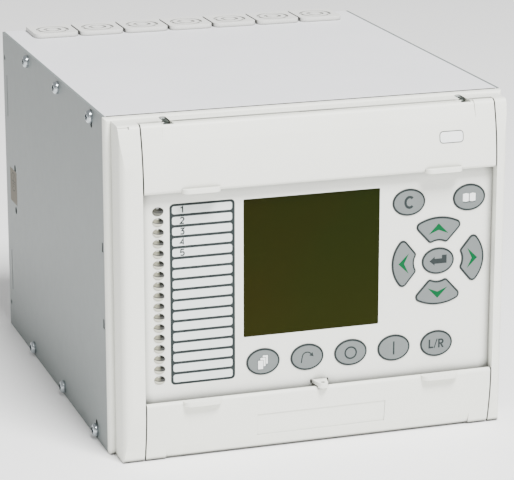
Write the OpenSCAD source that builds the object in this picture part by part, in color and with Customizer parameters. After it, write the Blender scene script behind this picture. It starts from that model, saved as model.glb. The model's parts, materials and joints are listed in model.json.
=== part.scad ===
// Numerical protection relay in a sheet-metal case, with a moulded front bezel,
// a key and display panel, two hinged flaps and an open wiring space at the rear.
// Millimetres. +X is right seen from the front, +Y goes to the back, +Z is up.
// The origin is the centre of the footprint, on the surface that the case stands on.

/* [Case] */
// Width across the two side panels
case_w = 213.4; // [200:0.1:240]
// Height of the case
case_h = 177.5; // [158:0.1:200]
// Depth of the case behind the bezel
case_d = 227.9; // [215:0.1:260]
// Thickness of the case sheet
sheet_t = 1.5; // [1:0.1:2]
// Gap between the bezel and the front edges of the top and bottom panels
seam = 0.4; // [0.2:0.1:0.8]
// Height of the flanges folded from the top and bottom panels
flange_h = 12; // [10:0.5:16]
// Depth of the open wiring space behind the rear plate
wiring_d = 31; // [29:0.5:36]
// Thickness of the rear plate
rear_t = 2; // [1.5:0.1:3]

/* [Side screws] */
// Distance of the first screw from the front edge
screw_first = 22; // [18:0.5:26]
// Distance from one screw to the next
screw_pitch = 71; // [60:0.5:74]
// Distance of the screw rows from the top and bottom edges
screw_edge = 4.9; // [4.5:0.1:6]
// Diameter of the screw heads
screw_head_d = 7; // [6:0.1:8]
// Height of the screw heads
screw_head_h = 2.6; // [2:0.1:3]
// Diameter of the screw shanks
screw_d = 3.9; // [3:0.1:4.5]
// Length of the screw shanks
screw_len = 7; // [5:0.5:9]
// Room left round a screw shank
screw_gap = 0.15; // [0.1:0.05:0.4]
// How far the front screws' slots run towards the middle of the height
screw_slot = 3.6; // [2:0.1:6]
// How far the front screws' slots run towards the nearer edge
screw_slot_out = 1.8; // [1:0.1:2]

/* [Side panel holes] */
// Diameter of the two fixing holes
fix_d = 4.5; // [3.5:0.1:6]
// Distance between the two fixing holes
fix_pitch = 25; // [20:0.5:30]
// Distance of the fixing holes from the rear edge
fix_back = 23.8; // [16:0.1:26]
// Width of the slits near the rear edge
slit_w = 1.2; // [0.8:0.1:2]
// Length of the slits
slit_len = 24.5; // [15:0.5:30]
// Distance of the slits from the rear edge
slit_back = 8.7; // [7:0.1:12]
// Distance of each slit from the middle of the height
slit_off = 52.6; // [45:0.1:58]
// Diameter of the small holes at the rear edge
rear_hole_d = 3; // [2:0.1:3.5]
// Distance of the small holes from the rear edge
rear_hole_back = 3.9; // [3:0.1:5]
// Distance of each small hole from the middle of the height
rear_hole_off = 74.2; // [70:0.1:78]
// Height of the catch notches near the front edge
notch_h = 5; // [3:0.5:8]
// Width of the catch notches
notch_w = 2.6; // [2:0.1:4]
// Distance of the catch notches from the front edge
notch_front = 3.3; // [2.5:0.1:5]
// Distance of each catch notch from the middle of the height
notch_off = 20.3; // [15:0.1:30]

/* [Cable plugs] */
// Number of cable-entry plugs
plug_count = 7; // [5:1:7]
// Distance from one plug to the next
plug_pitch = 26.8; // [25:0.1:28]
// Gap between two plugs
plug_gap = 1.1; // [0.6:0.1:2]
// Length of a plug from front to back
plug_len = 25.6; // [22:0.1:27]
// Distance of the plugs from the rear edge
plug_back = 1.8; // [1:0.1:3]
// Height of the plugs above the top panel
plug_rise = 2.6; // [2:0.1:4]
// Radius of the front corners of a plug
plug_r = 4; // [2:0.1:6]
// Width of the rim of a plug round its square opening
plug_rim = 2.8; // [2:0.1:4]
// Depth of a plug below the top panel
plug_drop = 3; // [1:0.1:4]
// Radius of the middle of the outer membrane ring
ring_r = 8.6; // [6:0.1:9]
// Width of the membrane grooves
ring_w = 1.6; // [1:0.1:2]
// Depth of the membrane grooves
ring_d = 0.9; // [0.4:0.1:1.6]

/* [Bezel] */
// Thickness of the rim against the case
rim_t = 4.5; // [4:0.1:6]
// How far the rim stays below the top of the case
rim_step = 0.4; // [0.1:0.1:0.8]
// Radius of the front edge of the rim
rim_r = 2.5; // [1:0.1:3]
// How far the bezel body is set in from each side of the rim
side_inset = 3.3; // [2.5:0.1:4]
// How far the bezel body is set in below the top of the case
top_inset = 1.7; // [1:0.1:3]
// How far the bezel body is set in above the bottom of the rim
bottom_inset = 0.2; // [0.2:0.1:2]
// Reach of the pillars in front of the case
belly_out = 22.4; // [21.5:0.1:26]
// How far the front falls back at its top edge
top_drop = 5.5; // [4:0.1:6]
// How far the front falls back at its bottom edge
bottom_drop = 3.8; // [3.5:0.1:5.5]
// Radius of the top and bottom front edges and of the flap barrels
edge_r = 3; // [2.6:0.1:3.4]
// Radius of the upright outer edges of the pillars
pillar_r = 5.5; // [2:0.1:6]
// Radius of the groove across the top of the left pillar
groove_r = 0.4; // [0.2:0.05:0.6]
// Wall of the bezel moulding
bezel_wall = 3; // [2.5:0.1:3.6]
// Width of the opening between the pillars
open_w = 189.4; // [185:0.1:192]
// How far the opening sits to the right of the middle
open_shift = 2.4; // [0:0.1:3.5]
// Distance of the flap bays' floor in front of the case
bay_out = 10; // [9:0.1:10.4]
// Wall of the flap bays
bay_wall = 2.5; // [2:0.1:3]
// Width of the corner lugs that take the front side screws
lug_w = 8; // [7.5:0.5:10]
// Height of the corner lugs
lug_h = 14; // [12:0.5:18]
// Length of the corner lugs behind the front screw
lug_back = 8; // [5:0.5:11]
// Space between the corner lugs and the flanges
lug_gap = 4; // [1:0.5:8]

/* [Top screws] */
// Distance between the two screws in the top edge
top_screw_spread = 158.6; // [140:0.1:164]
// Depth of the screw axis below the top of the bezel body
top_screw_depth = 2.8; // [2.4:0.1:3.4]
// Radius of the open channel round a screw head
channel_r = 3.4; // [3.2:0.1:3.8]
// Diameter of the top screw heads
top_head_d = 5.6; // [5:0.1:6.2]
// Height of the top screw heads
top_head_h = 3; // [2:0.1:3.4]
// Width of the prying slot behind the upper flap
top_slot_w = 20; // [12:0.5:30]
// Depth of the prying slot
top_slot_d = 3; // [1:0.1:4]
// Height of the prying slot
top_slot_h = 0.8; // [0.4:0.1:1.2]

/* [Flaps] */
// Thickness of the flaps
flap_t = 2.2; // [1.6:0.1:2.6]
// Radius of the flaps' free edges
lip_r = 1.8; // [1:0.1:2]
// How far the hinge edge of a flap is set back between its ends
relief_d = 0.6; // [0.3:0.1:1.2]
// Length of the full ends of a flap
relief_end = 10.6; // [8:0.1:14]
// Height of the set-back part of the upper flap below its hinge axis
relief_upper = 6.2; // [4:0.1:8]
// Height of the set-back part of the lower flap above its hinge axis
relief_lower = 4; // [2:0.1:6]
// Gap between a flap's barrel and the bezel
flap_gap = 0.5; // [0.3:0.05:0.6]
// Gap between a flap's ends and the pillars
end_gap = 0.8; // [0.3:0.05:1]
// Diameter of the hinge pins
pin_d = 3; // [2:0.1:3.6]
// Length of the hinge pins
pin_len = 3; // [2:0.1:4]
// Running gap round the hinge pins
pin_gap = 0.08; // [0.05:0.01:0.1]
// Width of the finger tabs
tab_w = 20; // [14:0.5:26]
// Reach of the finger tabs in front of the flaps
tab_out = 3.3; // [2:0.1:4]
// Thickness of the finger tabs
tab_t = 2.2; // [1.6:0.1:3]
// Distance between the two tabs of a flap
tab_spread = 129.6; // [100:0.1:150]
// Width of the label recess on the lower flap
recess_w = 70; // [40:1:90]
// Height of the label recess
recess_h = 11.7; // [6:0.1:14]
// Depth of the label recess
recess_d = 0.4; // [0.2:0.1:0.8]
// Height of the middle of the label recess above the hinge
recess_up = 11; // [9:0.1:14]

/* [Sealing tongue] */
// Width of the tongue at its root
tongue_w = 8; // [5:0.5:12]
// Width of the tongue at its tip
tongue_tip_w = 5.4; // [3:0.1:7]
// Thickness of the tongue
tongue_t = 2; // [1.4:0.1:2.6]
// Gap between the tongue and the lower flap
tongue_gap = 0.6; // [0.4:0.1:1.5]
// Gap beside the tongue in its slot
tongue_room = 1; // [0.2:0.1:1.5]
// How far the tip of the tongue hooks down in front of the lower flap
tongue_hook = 0.8; // [0.4:0.1:0.9]

/* [Panel] */
// Height of the panel between the two flaps
panel_h = 109.4; // [108.6:0.1:112]
// How far the panel's middle sits below the case's middle
panel_drop = 2.45; // [1:0.05:4]
// Reach of the panel's face in front of the case
overlay_out = 17; // [16.5:0.1:17.6]
// Thickness of the film overlay
overlay_t = 0.5; // [0.3:0.1:0.8]
// Thickness of the plate behind the overlay
plate_t = 3; // [2.4:0.1:3.4]
// How far the plate runs behind each flap
plate_lap = 3; // [2:0.1:5]
// Gap round inserts in the panel
insert_gap = 0.1; // [0.05:0.05:0.3]
// Width of the display
display_w = 73.4; // [60:0.1:76]
// Height of the display
display_h = 72.8; // [60:0.1:76]
// Distance of the display's middle from the case's middle
display_x = -2; // [-4:0.1:0]
// Height of the display's middle above the panel's middle
display_up = 10.9; // [9.5:0.1:12]
// Thickness of the display window
window_t = 2; // [1.5:0.1:2.5]
// Margin of the display module behind the plate
lcd_margin = 3; // [2:0.1:3.6]

/* [Indicators] */
// Number of indicator lenses and label rows
led_count = 17; // [10:1:17]
// Distance from one indicator to the next
led_pitch = 5.53; // [5.2:0.01:5.6]
// Width of an indicator lens
led_w = 5.8; // [4:0.1:6.2]
// Height of an indicator lens
led_h = 4.3; // [3:0.1:4.5]
// Distance of the lenses from the case's middle
led_x = -83.3; // [-86:0.1:-82]
// Height of the middle of the row of lenses above the panel's middle
led_up = 0.5; // [-1:0.1:2]
// Height of the lens domes above the overlay
led_dome = 0.6; // [0.3:0.1:1]
// Width of the label strip
label_w = 34; // [28:0.1:34]
// Distance of the label strip's middle from the case's middle
label_x = -60.3; // [-61:0.1:-59]
// Width of the frame lines of the label strip
label_line = 1; // [0.6:0.1:1.4]
// Depth of the label fields
label_d = 0.15; // [0.1:0.05:0.25]

/* [Keys] */
// Width of an oval key
key_w = 17.6; // [14:0.1:18]
// Height of an oval key
key_h = 13.8; // [11:0.1:14]
// Height of the key faces above the overlay
key_rise = 0.4; // [0.2:0.1:0.8]
// Gap round a key
key_gap = 0.3; // [0.2:0.05:0.4]
// Travel of a key
key_travel = 0.5; // [0.3:0.1:0.8]
// Width of the collar that holds a key behind the plate
collar_w = 0.7; // [0.5:0.1:0.8]
// Thickness of the collar
collar_t = 1; // [0.8:0.1:1.4]
// Distance of the arrow keys' middle from the case's middle
nav_x = 67.3; // [66:0.1:68]
// Height of the arrow keys' middle above the panel's middle
nav_up = 5.6; // [4.6:0.1:6.2]
// Sideways distance of the two upper keys from the arrow keys' middle
corner_dx = 16.7; // [16:0.1:18]
// Height of the two upper keys above the arrow keys' middle
corner_dz = 32.8; // [32:0.1:33.4]
// Distance of the lower row of keys below the panel's middle
row_down = 39.5; // [39:0.1:40.2]
// Distance from one key of the lower row to the next
row_pitch = 23.9; // [22:0.1:24.2]
// Half the width of an arrow key at its outer corners
petal_tip = 13.4; // [12:0.1:13.6]
// Distance of an arrow key's outer corners from the middle
petal_out = 19.4; // [18.5:0.1:20]
// Half the width of an arrow key at its inner corners
petal_root = 4.5; // [4:0.1:5]
// Distance of the upper and lower arrow keys' inner corners from the middle
petal_in = 9.7; // [9.5:0.1:10.5]
// Distance of the side arrow keys' inner corners from the middle
petal_side_in = 12.1; // [11.8:0.1:12.6]
// Crown of the upper and lower arrow keys' outer edges
petal_crown = 4.1; // [3:0.1:4.4]
// Crown of the side arrow keys' outer edges
petal_side_crown = 6.1; // [5:0.1:6.3]
// Dish of the arrow keys' inner edges
petal_dish = 1.4; // [1:0.1:1.6]
// Radius of the arrow keys' outer corners
petal_r_out = 2.4; // [1.5:0.1:2.6]
// Radius of the arrow keys' inner corners
petal_r_in = 1.6; // [0.8:0.1:1.8]

/* [Control board] */
// Distance of the board's face in front of the case
board_out = 6; // [5.6:0.1:6.4]
// Thickness of every circuit board
pcb_t = 1.6; // [1:0.1:2]
// Diameter of the board bosses
boss_d = 6; // [5:0.1:7]
// Diameter of the board screws
board_screw_d = 2.4; // [2:0.1:3]
// Side of a key switch
switch_w = 6; // [4:0.1:7]

/* [Service port] */
// Distance of the port's middle from the opening's middle
port_x = -40; // [-60:1:60]
// Width of the port's flange
port_w = 30.8; // [28:0.1:34]
// Height of the port's flange
port_h = 12.4; // [10:0.1:12.8]
// Width of the port's shell
shell_w = 17; // [15:0.1:18]
// Height of the port's shell
shell_h = 8.4; // [7:0.1:9]
// Length of the port's shell
shell_len = 5.6; // [4:0.1:6]

/* [Cards] */
// Distance of the outer plug-in cards from the side panels
card_edge = 21.2; // [18:0.1:24]
// Width of a card guide
guide_w = 6; // [5:0.1:8]
// Height of a card guide
guide_h = 5; // [4:0.1:7]
// Depth of the slot in a card guide
guide_slot = 3; // [2:0.1:3.5]
// Distance of the bus board's face behind the front edge
bus_back = 46; // [42:0.5:60]
// Depth of a card's bus connector
bus_plug_d = 9; // [6:0.5:12]
// Width of a card's bus connector
bus_plug_w = 8; // [6:0.5:10]
// Height of a card's bus connector
bus_plug_h = 95; // [80:1:110]
// Gap round a board in its guide
card_gap = 0.2; // [0.1:0.05:0.4]

/* [Terminals] */
// Height of the terminal blocks
term_h = 118; // [108:1:122]
// Depth of the terminal blocks
term_d = 22; // [18:0.5:26]
// Width of a signal terminal block
term_w = 20; // [16:0.5:22]
// Number of ways of a signal terminal block
term_ways = 12; // [8:1:12]
// Width of the transformer terminal block
heavy_w = 34; // [30:0.5:36]
// Number of rows of the transformer terminal block
heavy_rows = 6; // [4:1:6]
// Depth of the base of the transformer terminal block
heavy_base = 10; // [8:0.5:12]
// Thickness of the barriers of the transformer terminal block
heavy_fin = 2; // [1.5:0.1:3]
// Length of the blocks' roots in front of the rear plate
root_len = 4; // [2:0.5:6]
// How far the blocks' roots are set in from their outlines
root_inset = 3; // [2:0.5:4]

/* [Hidden] */
$fn = 48;

// Finishes
bezel_white = [0.90, 0.905, 0.89];
panel_grey = [0.63, 0.64, 0.635];
top_grey = [0.86, 0.865, 0.875];
key_grey = [0.69, 0.71, 0.705];
zinc = [0.78, 0.79, 0.80];
board_green = [0.10, 0.35, 0.20];
terminal_dark = [0.16, 0.18, 0.17];

// Boolean tools run this far past the faces that they cut
over = 1;

// Case
front_y = -(case_d - belly_out - tab_out) / 2;
inner_x = case_w / 2 - sheet_t;
inner_top = case_h - sheet_t;
mid_z = case_h / 2;
rear_face = case_d - wiring_d;
rear_front = rear_face - rear_t;
lug_d = screw_first + lug_back;
flange_front = lug_d + lug_gap;
screw_hole_r = screw_d / 2 + screw_gap;
lobe_r = screw_head_d / 11;
lobe_ring = screw_head_d / 5;
rear_screw_in = 6;
rear_screw_d = 3;
rear_head_d = 5.4;
rear_head_h = 2;

// Cable plugs
plug_w = plug_pitch - plug_gap;
plug_hole_w = plug_w - 2 * plug_rim;
plug_hole_len = plug_len - 2 * plug_rim;
plug_y = case_d - plug_back - plug_len / 2;
plug_tail_r = 0.8;
plug_fit = 0.15;

// Bezel outline, seen from the side and from above
body_w = case_w - 2 * side_inset;
rim_top = case_h - rim_step;
// Depth of the prying slot under the top of the bezel body
top_slot_z = 0.5;
body_top = case_h - top_inset;
body_bot = bottom_inset;
panel_z = mid_z - panel_drop;
upper_z = panel_z + panel_h / 2;
lower_z = panel_z - panel_h / 2;
upper_h = body_top - upper_z;
lower_h = lower_z - body_bot;
open_l = open_shift - open_w / 2;
open_r = open_shift + open_w / 2;
function crown_radius(rise, drop) = (rise * rise + drop * drop) / (2 * drop);
top_r = crown_radius(upper_h, top_drop);
bot_r = crown_radius(lower_h, bottom_drop);
top_c = [top_r - belly_out, upper_z];
bot_c = [bot_r - belly_out, lower_z];
top_a = 180 - asin((upper_h - edge_r) / (top_r - edge_r));
bot_a = 180 + asin((lower_h - edge_r) / (bot_r - edge_r));
// Hinge axes, at the centres of the top and bottom front edges
top_hinge = top_c + (top_r - edge_r) * [cos(top_a), sin(top_a)];
bot_hinge = bot_c + (bot_r - edge_r) * [cos(bot_a), sin(bot_a)];
hinge_room = edge_r + flap_gap;
pin_hole_depth = pin_len + end_gap;
groove_a = 140;
groove_end = (open_l - body_w / 2) / 2 + groove_r;
cavity_x = body_w / 2 - bezel_wall;
cavity_bot = body_bot + bezel_wall;
cavity_top = body_top - bezel_wall;
bay_back = bay_out - bay_wall;
plate_out = overlay_out - overlay_t;
plate_back = plate_out - plate_t;
plate_top = upper_z + plate_lap;
plate_bot = lower_z - plate_lap;
// The flap barrels fill this span of angles round their hinge axes
barrel_open = 60;

// Top screws
top_screw_z = body_top - top_screw_depth;
top_screw_x = [for (side = [-1, 1]) open_shift + side * top_screw_spread / 2];
top_boss_wall = 2;
top_boss_w = 2 * (channel_r + top_boss_wall);
top_boss_h = 11;
seat_sink = 0.8;
top_seat = rim_t - seat_sink;
screw_past = 3;
top_screw_len = top_seat + 2 * sheet_t + screw_past;
top_tab_h = top_boss_h + top_inset;

// Panel inserts
display_z = panel_z + display_up;
led_z = panel_z + led_up;
nav_z = panel_z + nav_up;
row_z = panel_z - row_down;
label_h = led_count * led_pitch + label_line;
label_r = 2.2;
field_r = 1.2;
window_r = 0.6;
lcd_back = board_out;
window_back = overlay_out - window_t;
pipe_bar_side = 1.5;
pipe_bar_w = led_w + 2 * pipe_bar_side;
pipe_bar_t = 1.6;
pipe_seat = plate_back;
dome_taper = 0.55;
oval_sides = 40;
pipe_sides = 24;

// Sealing tongue, which ends just behind the finger tabs' tips
tongue_z = lower_z + tongue_gap;
tongue_short = 0.3;
tongue_tip = belly_out + tab_out - tongue_short;
tongue_bend = tongue_tip_w / 2 - tongue_tip;
tongue_hole_r = tongue_tip_w / 5;

// Keys: shape (0 oval, 1 upright arrow key, 2 sideways arrow key), turn, place
function row_key(i) = [0, 0, nav_x - (4 - i) * row_pitch, row_z];
key_list = [
    [0, 0, nav_x - corner_dx, nav_z + corner_dz],
    [0, 0, nav_x + corner_dx, nav_z + corner_dz],
    [1, 0, nav_x, nav_z],
    [2, 90, nav_x, nav_z],
    [0, 0, nav_x, nav_z],
    [2, 270, nav_x, nav_z],
    [1, 180, nav_x, nav_z],
    row_key(0), row_key(1), row_key(2), row_key(3), row_key(4)
];
stem_r = 1.6;
collar_room = 0.15;
collar_front = plate_back - collar_room;
switch_h = 3.4;
switch_top = board_out + switch_h;
stem_gap = 0.3;
stem_tip = switch_top + key_travel + stem_gap;

// Control board and its bosses
board_margin = 4;
board_l = open_l + board_margin;
board_r = open_r - board_margin;
board_clear = 1;
board_bot = plate_bot + bay_wall + board_clear;
board_top = plate_top - bay_wall - board_clear;
boss_in = 4;
boss_x = [label_x, board_r - boss_in];
boss_z = [board_bot + boss_in, board_top - boss_in];
board_head_h = 1.8;

// Service port
port_mid_x = open_shift + port_x;
port_mid_z = (cavity_bot + plate_bot) / 2;
port_flange_t = 1;
port_body_d = 5;
post_r = 2.4;

// Cards and guides
bus_rear = bus_back + pcb_t;
bus_margin = 2;
card_rear = rear_front - root_len;
card_count = 5;
card_pitch = 2 * (inner_x - card_edge) / (card_count - 1);
function card_x(i) = (i - (card_count - 1) / 2) * card_pitch;
card_low = sheet_t + guide_h - guide_slot + card_gap;
card_high = inner_top - guide_h + guide_slot - card_gap;
card_lead = 4;
card_front = bus_rear + card_lead;
link_w = 40;
link_h = 8;

// Soldered parts: height off the board, length and width
chip = [3, 32, 32];
memory_chip = [2, 18, 12];
relay_can = [15, 28, 12];
coupler = [4, 10, 6];
converter = [12, 30, 40];
transformer_can = [30, 34, 36];
choke = [14, 32, 30];
capacitor = [12, 14, 14];
sink_base = [3, 28, 40];
sink_fin = [14, 2, 40];

// Terminals
term_drop = 6;
term_bot = mid_z - term_h / 2 - term_drop;
term_step = term_h / (term_ways + 1);
term_screw_r = 2;
term_screw_h = 1.6;
term_well = 3;
wire_w = 4;
wire_d = 12;
heavy_screw_r = 4;
heavy_screw_h = 3.4;
heavy_step = (term_h - heavy_fin) / heavy_rows;
shank_gap = 0.1;
root_fit = 0.3;

// Points along an arc of a circle
function arc(c, r, a0, a1, n, first = 0) =
    [for (i = [first:n]) let (a = a0 + (a1 - a0) * i / n) c + r * [cos(a), sin(a)]];

// Ellipse of the stated width and height
function ellipse(w, h, n) = [for (i = [0:n - 1]) [w / 2 * cos(360 * i / n), h / 2 * sin(360 * i / n)]];

// Rectangle round the origin with rounded corners
function rounded_rect(w, h, r) = concat(
    arc([w / 2 - r, h / 2 - r], r, 0, 90, 5),
    arc([r - w / 2, h / 2 - r], r, 90, 180, 5),
    arc([r - w / 2, r - h / 2], r, 180, 270, 5),
    arc([w / 2 - r, r - h / 2], r, 270, 360, 5));

// Outline turned about the origin
function turned(points, a) = [for (p = points) [p.x * cos(a) - p.y * sin(a), p.x * sin(a) + p.y * cos(a)]];

// Front of the bezel seen from the side, from its top edge to its bottom edge
function front_line() = concat(
    arc(top_hinge, edge_r, 90, top_a, 8),
    arc(top_c, top_r, top_a, 180, 16, 1),
    arc(bot_c, bot_r, 180, bot_a, 16),
    arc(bot_hinge, edge_r, bot_a, 270, 8, 1));

// Half of an arrow key's outline, from the middle of its inner edge to the middle of its outer edge:
// a dished inner edge, a rounded inner corner, a straight flank, a rounded outer corner and a crown
function petal_side(inner, crown, grow) =
    let (
        corner_in = [petal_root, inner],
        corner_out = [petal_tip, petal_out],
        along = (corner_out - corner_in) / norm(corner_out - corner_in),
        inward = [-along.y, along.x],
        out_r = crown_radius(petal_tip, crown),
        out_c = [0, petal_out + crown - out_r],
        in_r = crown_radius(petal_root, petal_dish),
        in_c = [0, inner + petal_dish - in_r],
        out_off = petal_r_out - (out_c - corner_in) * inward,
        in_off = petal_r_in - (in_c - corner_in) * inward,
        round_out = out_c + out_off * inward + sqrt(pow(out_r - petal_r_out, 2) - pow(out_off, 2)) * along,
        round_in = in_c + in_off * inward + sqrt(pow(in_r + petal_r_in, 2) - pow(in_off, 2)) * along,
        out_a = atan2(round_out.y - out_c.y, round_out.x - out_c.x),
        in_a = atan2(round_in.y - in_c.y, round_in.x - in_c.x),
        flank_a = atan2(-inward.y, -inward.x)
    )
    concat(
        arc(in_c, in_r - grow, 90, in_a, 4),
        arc(round_in, petal_r_in + grow, in_a + 180, flank_a + 360, 4, 1),
        arc(round_out, petal_r_out + grow, flank_a, out_a, 6),
        arc(out_c, out_r + grow, out_a, 90, 6, 1));

// Whole outline of an arrow key
function petal(inner, crown, grow) =
    let (half = petal_side(inner, crown, grow), n = len(half))
    concat(half, [for (i = [n - 2:-1:1]) [-half[i].x, half[i].y]]);

// Outline of a key about its own place, grown by a margin
function key_outline(k, grow) =
    k[0] == 0 ? ellipse(key_w + 2 * grow, key_h + 2 * grow, oval_sides)
    : k[0] == 1 ? turned(petal(petal_in, petal_crown, grow), k[1])
    : turned(petal(petal_side_in, petal_side_crown, grow), k[1]);

// Place of the switch under a key
function switch_at(k) =
    let (reach = k[0] == 0 ? 0 : (petal_out + (k[0] == 1 ? petal_in : petal_side_in)) / 2 + petal_dish)
    [k[2] - reach * sin(k[1]), k[3] + reach * cos(k[1])];

// Height of an indicator, counted from the top
function led_at(i) = led_z + (led_count - 1) / 2 * led_pitch - i * led_pitch;

// Everything is drawn with y = 0 at the front edge of the case, then moved to the footprint's centre
module placed(rgb) color(rgb) translate([0, front_y, 0]) children();

// Box between two corners
module block(lo, hi) translate(lo) cube(hi - lo);

// Outlines drawn in x and z, y and z, or x and y, and given a length along the third axis
module along_y(y0, y1) translate([0, y1, 0]) rotate([90, 0, 0]) linear_extrude(y1 - y0) children();
module along_x(x0, x1) translate([x0, 0, 0]) rotate([90, 0, 90]) linear_extrude(x1 - x0) children();
module along_z(z0, z1) translate([0, 0, z0]) linear_extrude(z1 - z0) children();

// Round bars along an axis
module bar_x(r, x0, x1) translate([x0, 0, 0]) rotate([0, 90, 0]) cylinder(r = r, h = x1 - x0);
module bar_y(r, y0, y1) translate([0, y1, 0]) rotate([90, 0, 0]) cylinder(r = r, h = y1 - y0);

// Places of the side screws on one side: distance from the front, height, and inward direction
module at_side_screws(first = 0) {
    for (i = [first:2], up = [0, 1])
        translate([0, screw_first + i * screw_pitch, up ? case_h - screw_edge : screw_edge])
            mirror([0, 0, up]) children();
}

// Left and right are mirror images
module both_sides() {
    children();
    mirror([1, 0, 0]) children();
}

// Flat side panel with its holes, drawn on the left
module side_panel() {
    difference() {
        block([-case_w / 2, 0, 0], [-inner_x, case_d, case_h]);
        at_side_screws() bar_x(screw_hole_r, -case_w / 2 - over, -inner_x + over);
        for (up = [0, 1])
            translate([0, screw_first, up ? case_h - screw_edge : screw_edge])
                mirror([0, 0, up]) front_screw_slot();
        for (side = [-1, 1]) {
            translate([0, case_d - fix_back, mid_z + side * fix_pitch / 2])
                bar_x(fix_d / 2, -case_w / 2 - over, -inner_x + over);
            translate([0, case_d - rear_hole_back, mid_z + side * rear_hole_off])
                bar_x(rear_hole_d / 2, -case_w / 2 - over, -inner_x + over);
            translate([0, case_d - slit_back, mid_z + side * slit_off])
                side_cut(slit_w, slit_len);
            translate([0, notch_front, mid_z + side * notch_off])
                side_cut(notch_w, notch_h);
        }
    }
}

// Upright slot that lets a front screw be set
module front_screw_slot() {
    for (z = [-screw_slot_out, screw_slot])
        translate([0, 0, z]) bar_x(screw_hole_r, -case_w / 2 - over, -inner_x + over);
    block([-case_w / 2 - over, -screw_hole_r, -screw_slot_out], [-inner_x + over, screw_hole_r, screw_slot]);
}

// Rectangular cut through a side panel
module side_cut(w, h) block([-case_w / 2 - over, -w / 2, -h / 2], [-inner_x + over, w / 2, h / 2]);

module left_side_panel() placed(panel_grey) side_panel();

module right_side_panel() placed(panel_grey) mirror([1, 0, 0]) side_panel();

// Bottom panel: a tray with a flange at each side
module tray() {
    difference() {
        union() {
            block([-inner_x, seam, 0], [inner_x, case_d, sheet_t]);
            both_sides() block([-inner_x, flange_front, 0], [-inner_x + sheet_t, rear_front, flange_h]);
        }
        both_sides() at_side_screws(1) bar_x(screw_hole_r, -inner_x - over, -inner_x + sheet_t + over);
    }
}

// Top panel: the same tray turned over, with tabs for the top screws and the cable openings
module top_panel() placed(top_grey) difference() {
    union() {
        translate([0, 0, case_h]) mirror([0, 0, 1]) tray();
        for (x = top_screw_x)
            block([x - top_boss_w / 2, 0, inner_top - top_tab_h], [x + top_boss_w / 2, sheet_t, inner_top]);
    }
    for (x = top_screw_x) translate([x, 0, top_screw_z]) bar_y(screw_hole_r, -over, sheet_t + over);
    at_plugs() block([-plug_hole_w / 2, -plug_hole_len / 2, inner_top - over],
        [plug_hole_w / 2, plug_hole_len / 2, case_h + over]);
}

module bottom_panel() placed(panel_grey) tray();

// Corners of the rear plate, where its screws sit
module at_rear_screws() {
    for (sx = [-1, 1], sz = [0, 1])
        translate([sx * (inner_x - rear_screw_in), 0,
            sz ? inner_top - rear_screw_in : sheet_t + rear_screw_in]) children();
}

// Plate that closes the card space, with openings for the terminal blocks
module rear_plate() placed(panel_grey) difference() {
    block([-inner_x, rear_front, sheet_t], [inner_x, rear_face, inner_top]);
    for (i = [1, 2, 4]) root_cut(card_x(i), term_w);
    root_cut(card_x(3), heavy_w);
    at_rear_screws() bar_y(rear_screw_d / 2 + screw_gap, rear_front - over, rear_face + over);
}

module root_cut(x, w) {
    half = w / 2 - root_inset + root_fit;
    block([x - half, rear_front - over, term_bot + root_inset - root_fit],
        [x + half, rear_face + over, term_bot + term_h - root_inset + root_fit]);
}

module rear_plate_screws() placed(zinc) at_rear_screws() {
    bar_y(rear_screw_d / 2, rear_front - rear_head_h, rear_face);
    difference() {
        bar_y(rear_head_d / 2, rear_face, rear_face + rear_head_h);
        block([-rear_head_d, rear_face + rear_head_h / 2, -rear_head_h / 5],
            [rear_head_d, rear_face + rear_head_h + over, rear_head_h / 5]);
    }
}

// Pan-head screw with a six-lobe recess, its head to the left of x = 0
module pan_screw() {
    difference() {
        rotate([0, -90, 0]) rotate_extrude()
            polygon(concat([[0, 0]], [[screw_head_d / 2, 0]],
                [for (i = [0:6]) let (a = 90 * i / 6)
                    [screw_head_d / 2 * (0.5 + 0.5 * cos(a)), screw_head_h * (0.35 + 0.65 * sin(a))]],
                [[0, screw_head_h]]));
        for (a = [0:60:300]) rotate([a, 0, 0]) translate([0, lobe_ring, 0])
            bar_x(lobe_r, -screw_head_h - over, -screw_head_h / 2);
        bar_x(lobe_ring, -screw_head_h - over, -screw_head_h / 2);
    }
    bar_x(screw_d / 2, 0, screw_len);
}

module side_screws() placed(zinc) both_sides() translate([-case_w / 2, 0, 0]) at_side_screws() pan_screw();

// Places of the cable plugs along the rear of the top panel
module at_plugs() {
    for (i = [0:plug_count - 1]) translate([(i - (plug_count - 1) / 2) * plug_pitch, plug_y, 0]) children();
}

// Square plug with rings moulded round its pierceable middle
module cable_plug() {
    half_w = plug_w / 2;
    half_l = plug_len / 2;
    difference() {
        union() {
            along_z(case_h, case_h + plug_rise) polygon(concat(
                arc([half_w - plug_tail_r, half_l - plug_tail_r], plug_tail_r, 0, 90, 3),
                arc([plug_tail_r - half_w, half_l - plug_tail_r], plug_tail_r, 90, 180, 3),
                arc([plug_r - half_w, plug_r - half_l], plug_r, 180, 270, 8),
                arc([half_w - plug_r, plug_r - half_l], plug_r, 270, 360, 8)));
            block([plug_fit - plug_hole_w / 2, plug_fit - plug_hole_len / 2, inner_top - plug_drop],
                [plug_hole_w / 2 - plug_fit, plug_hole_len / 2 - plug_fit, case_h]);
        }
        for (r = [ring_r, ring_r / 2]) translate([0, 0, case_h + plug_rise - ring_d]) difference() {
            cylinder(r = r + ring_w / 2, h = ring_d + over);
            translate([0, 0, -over]) cylinder(r = r - ring_w / 2, h = ring_d + 3 * over);
        }
    }
}

module cable_plugs() placed(bezel_white) at_plugs() cable_plug();

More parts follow.
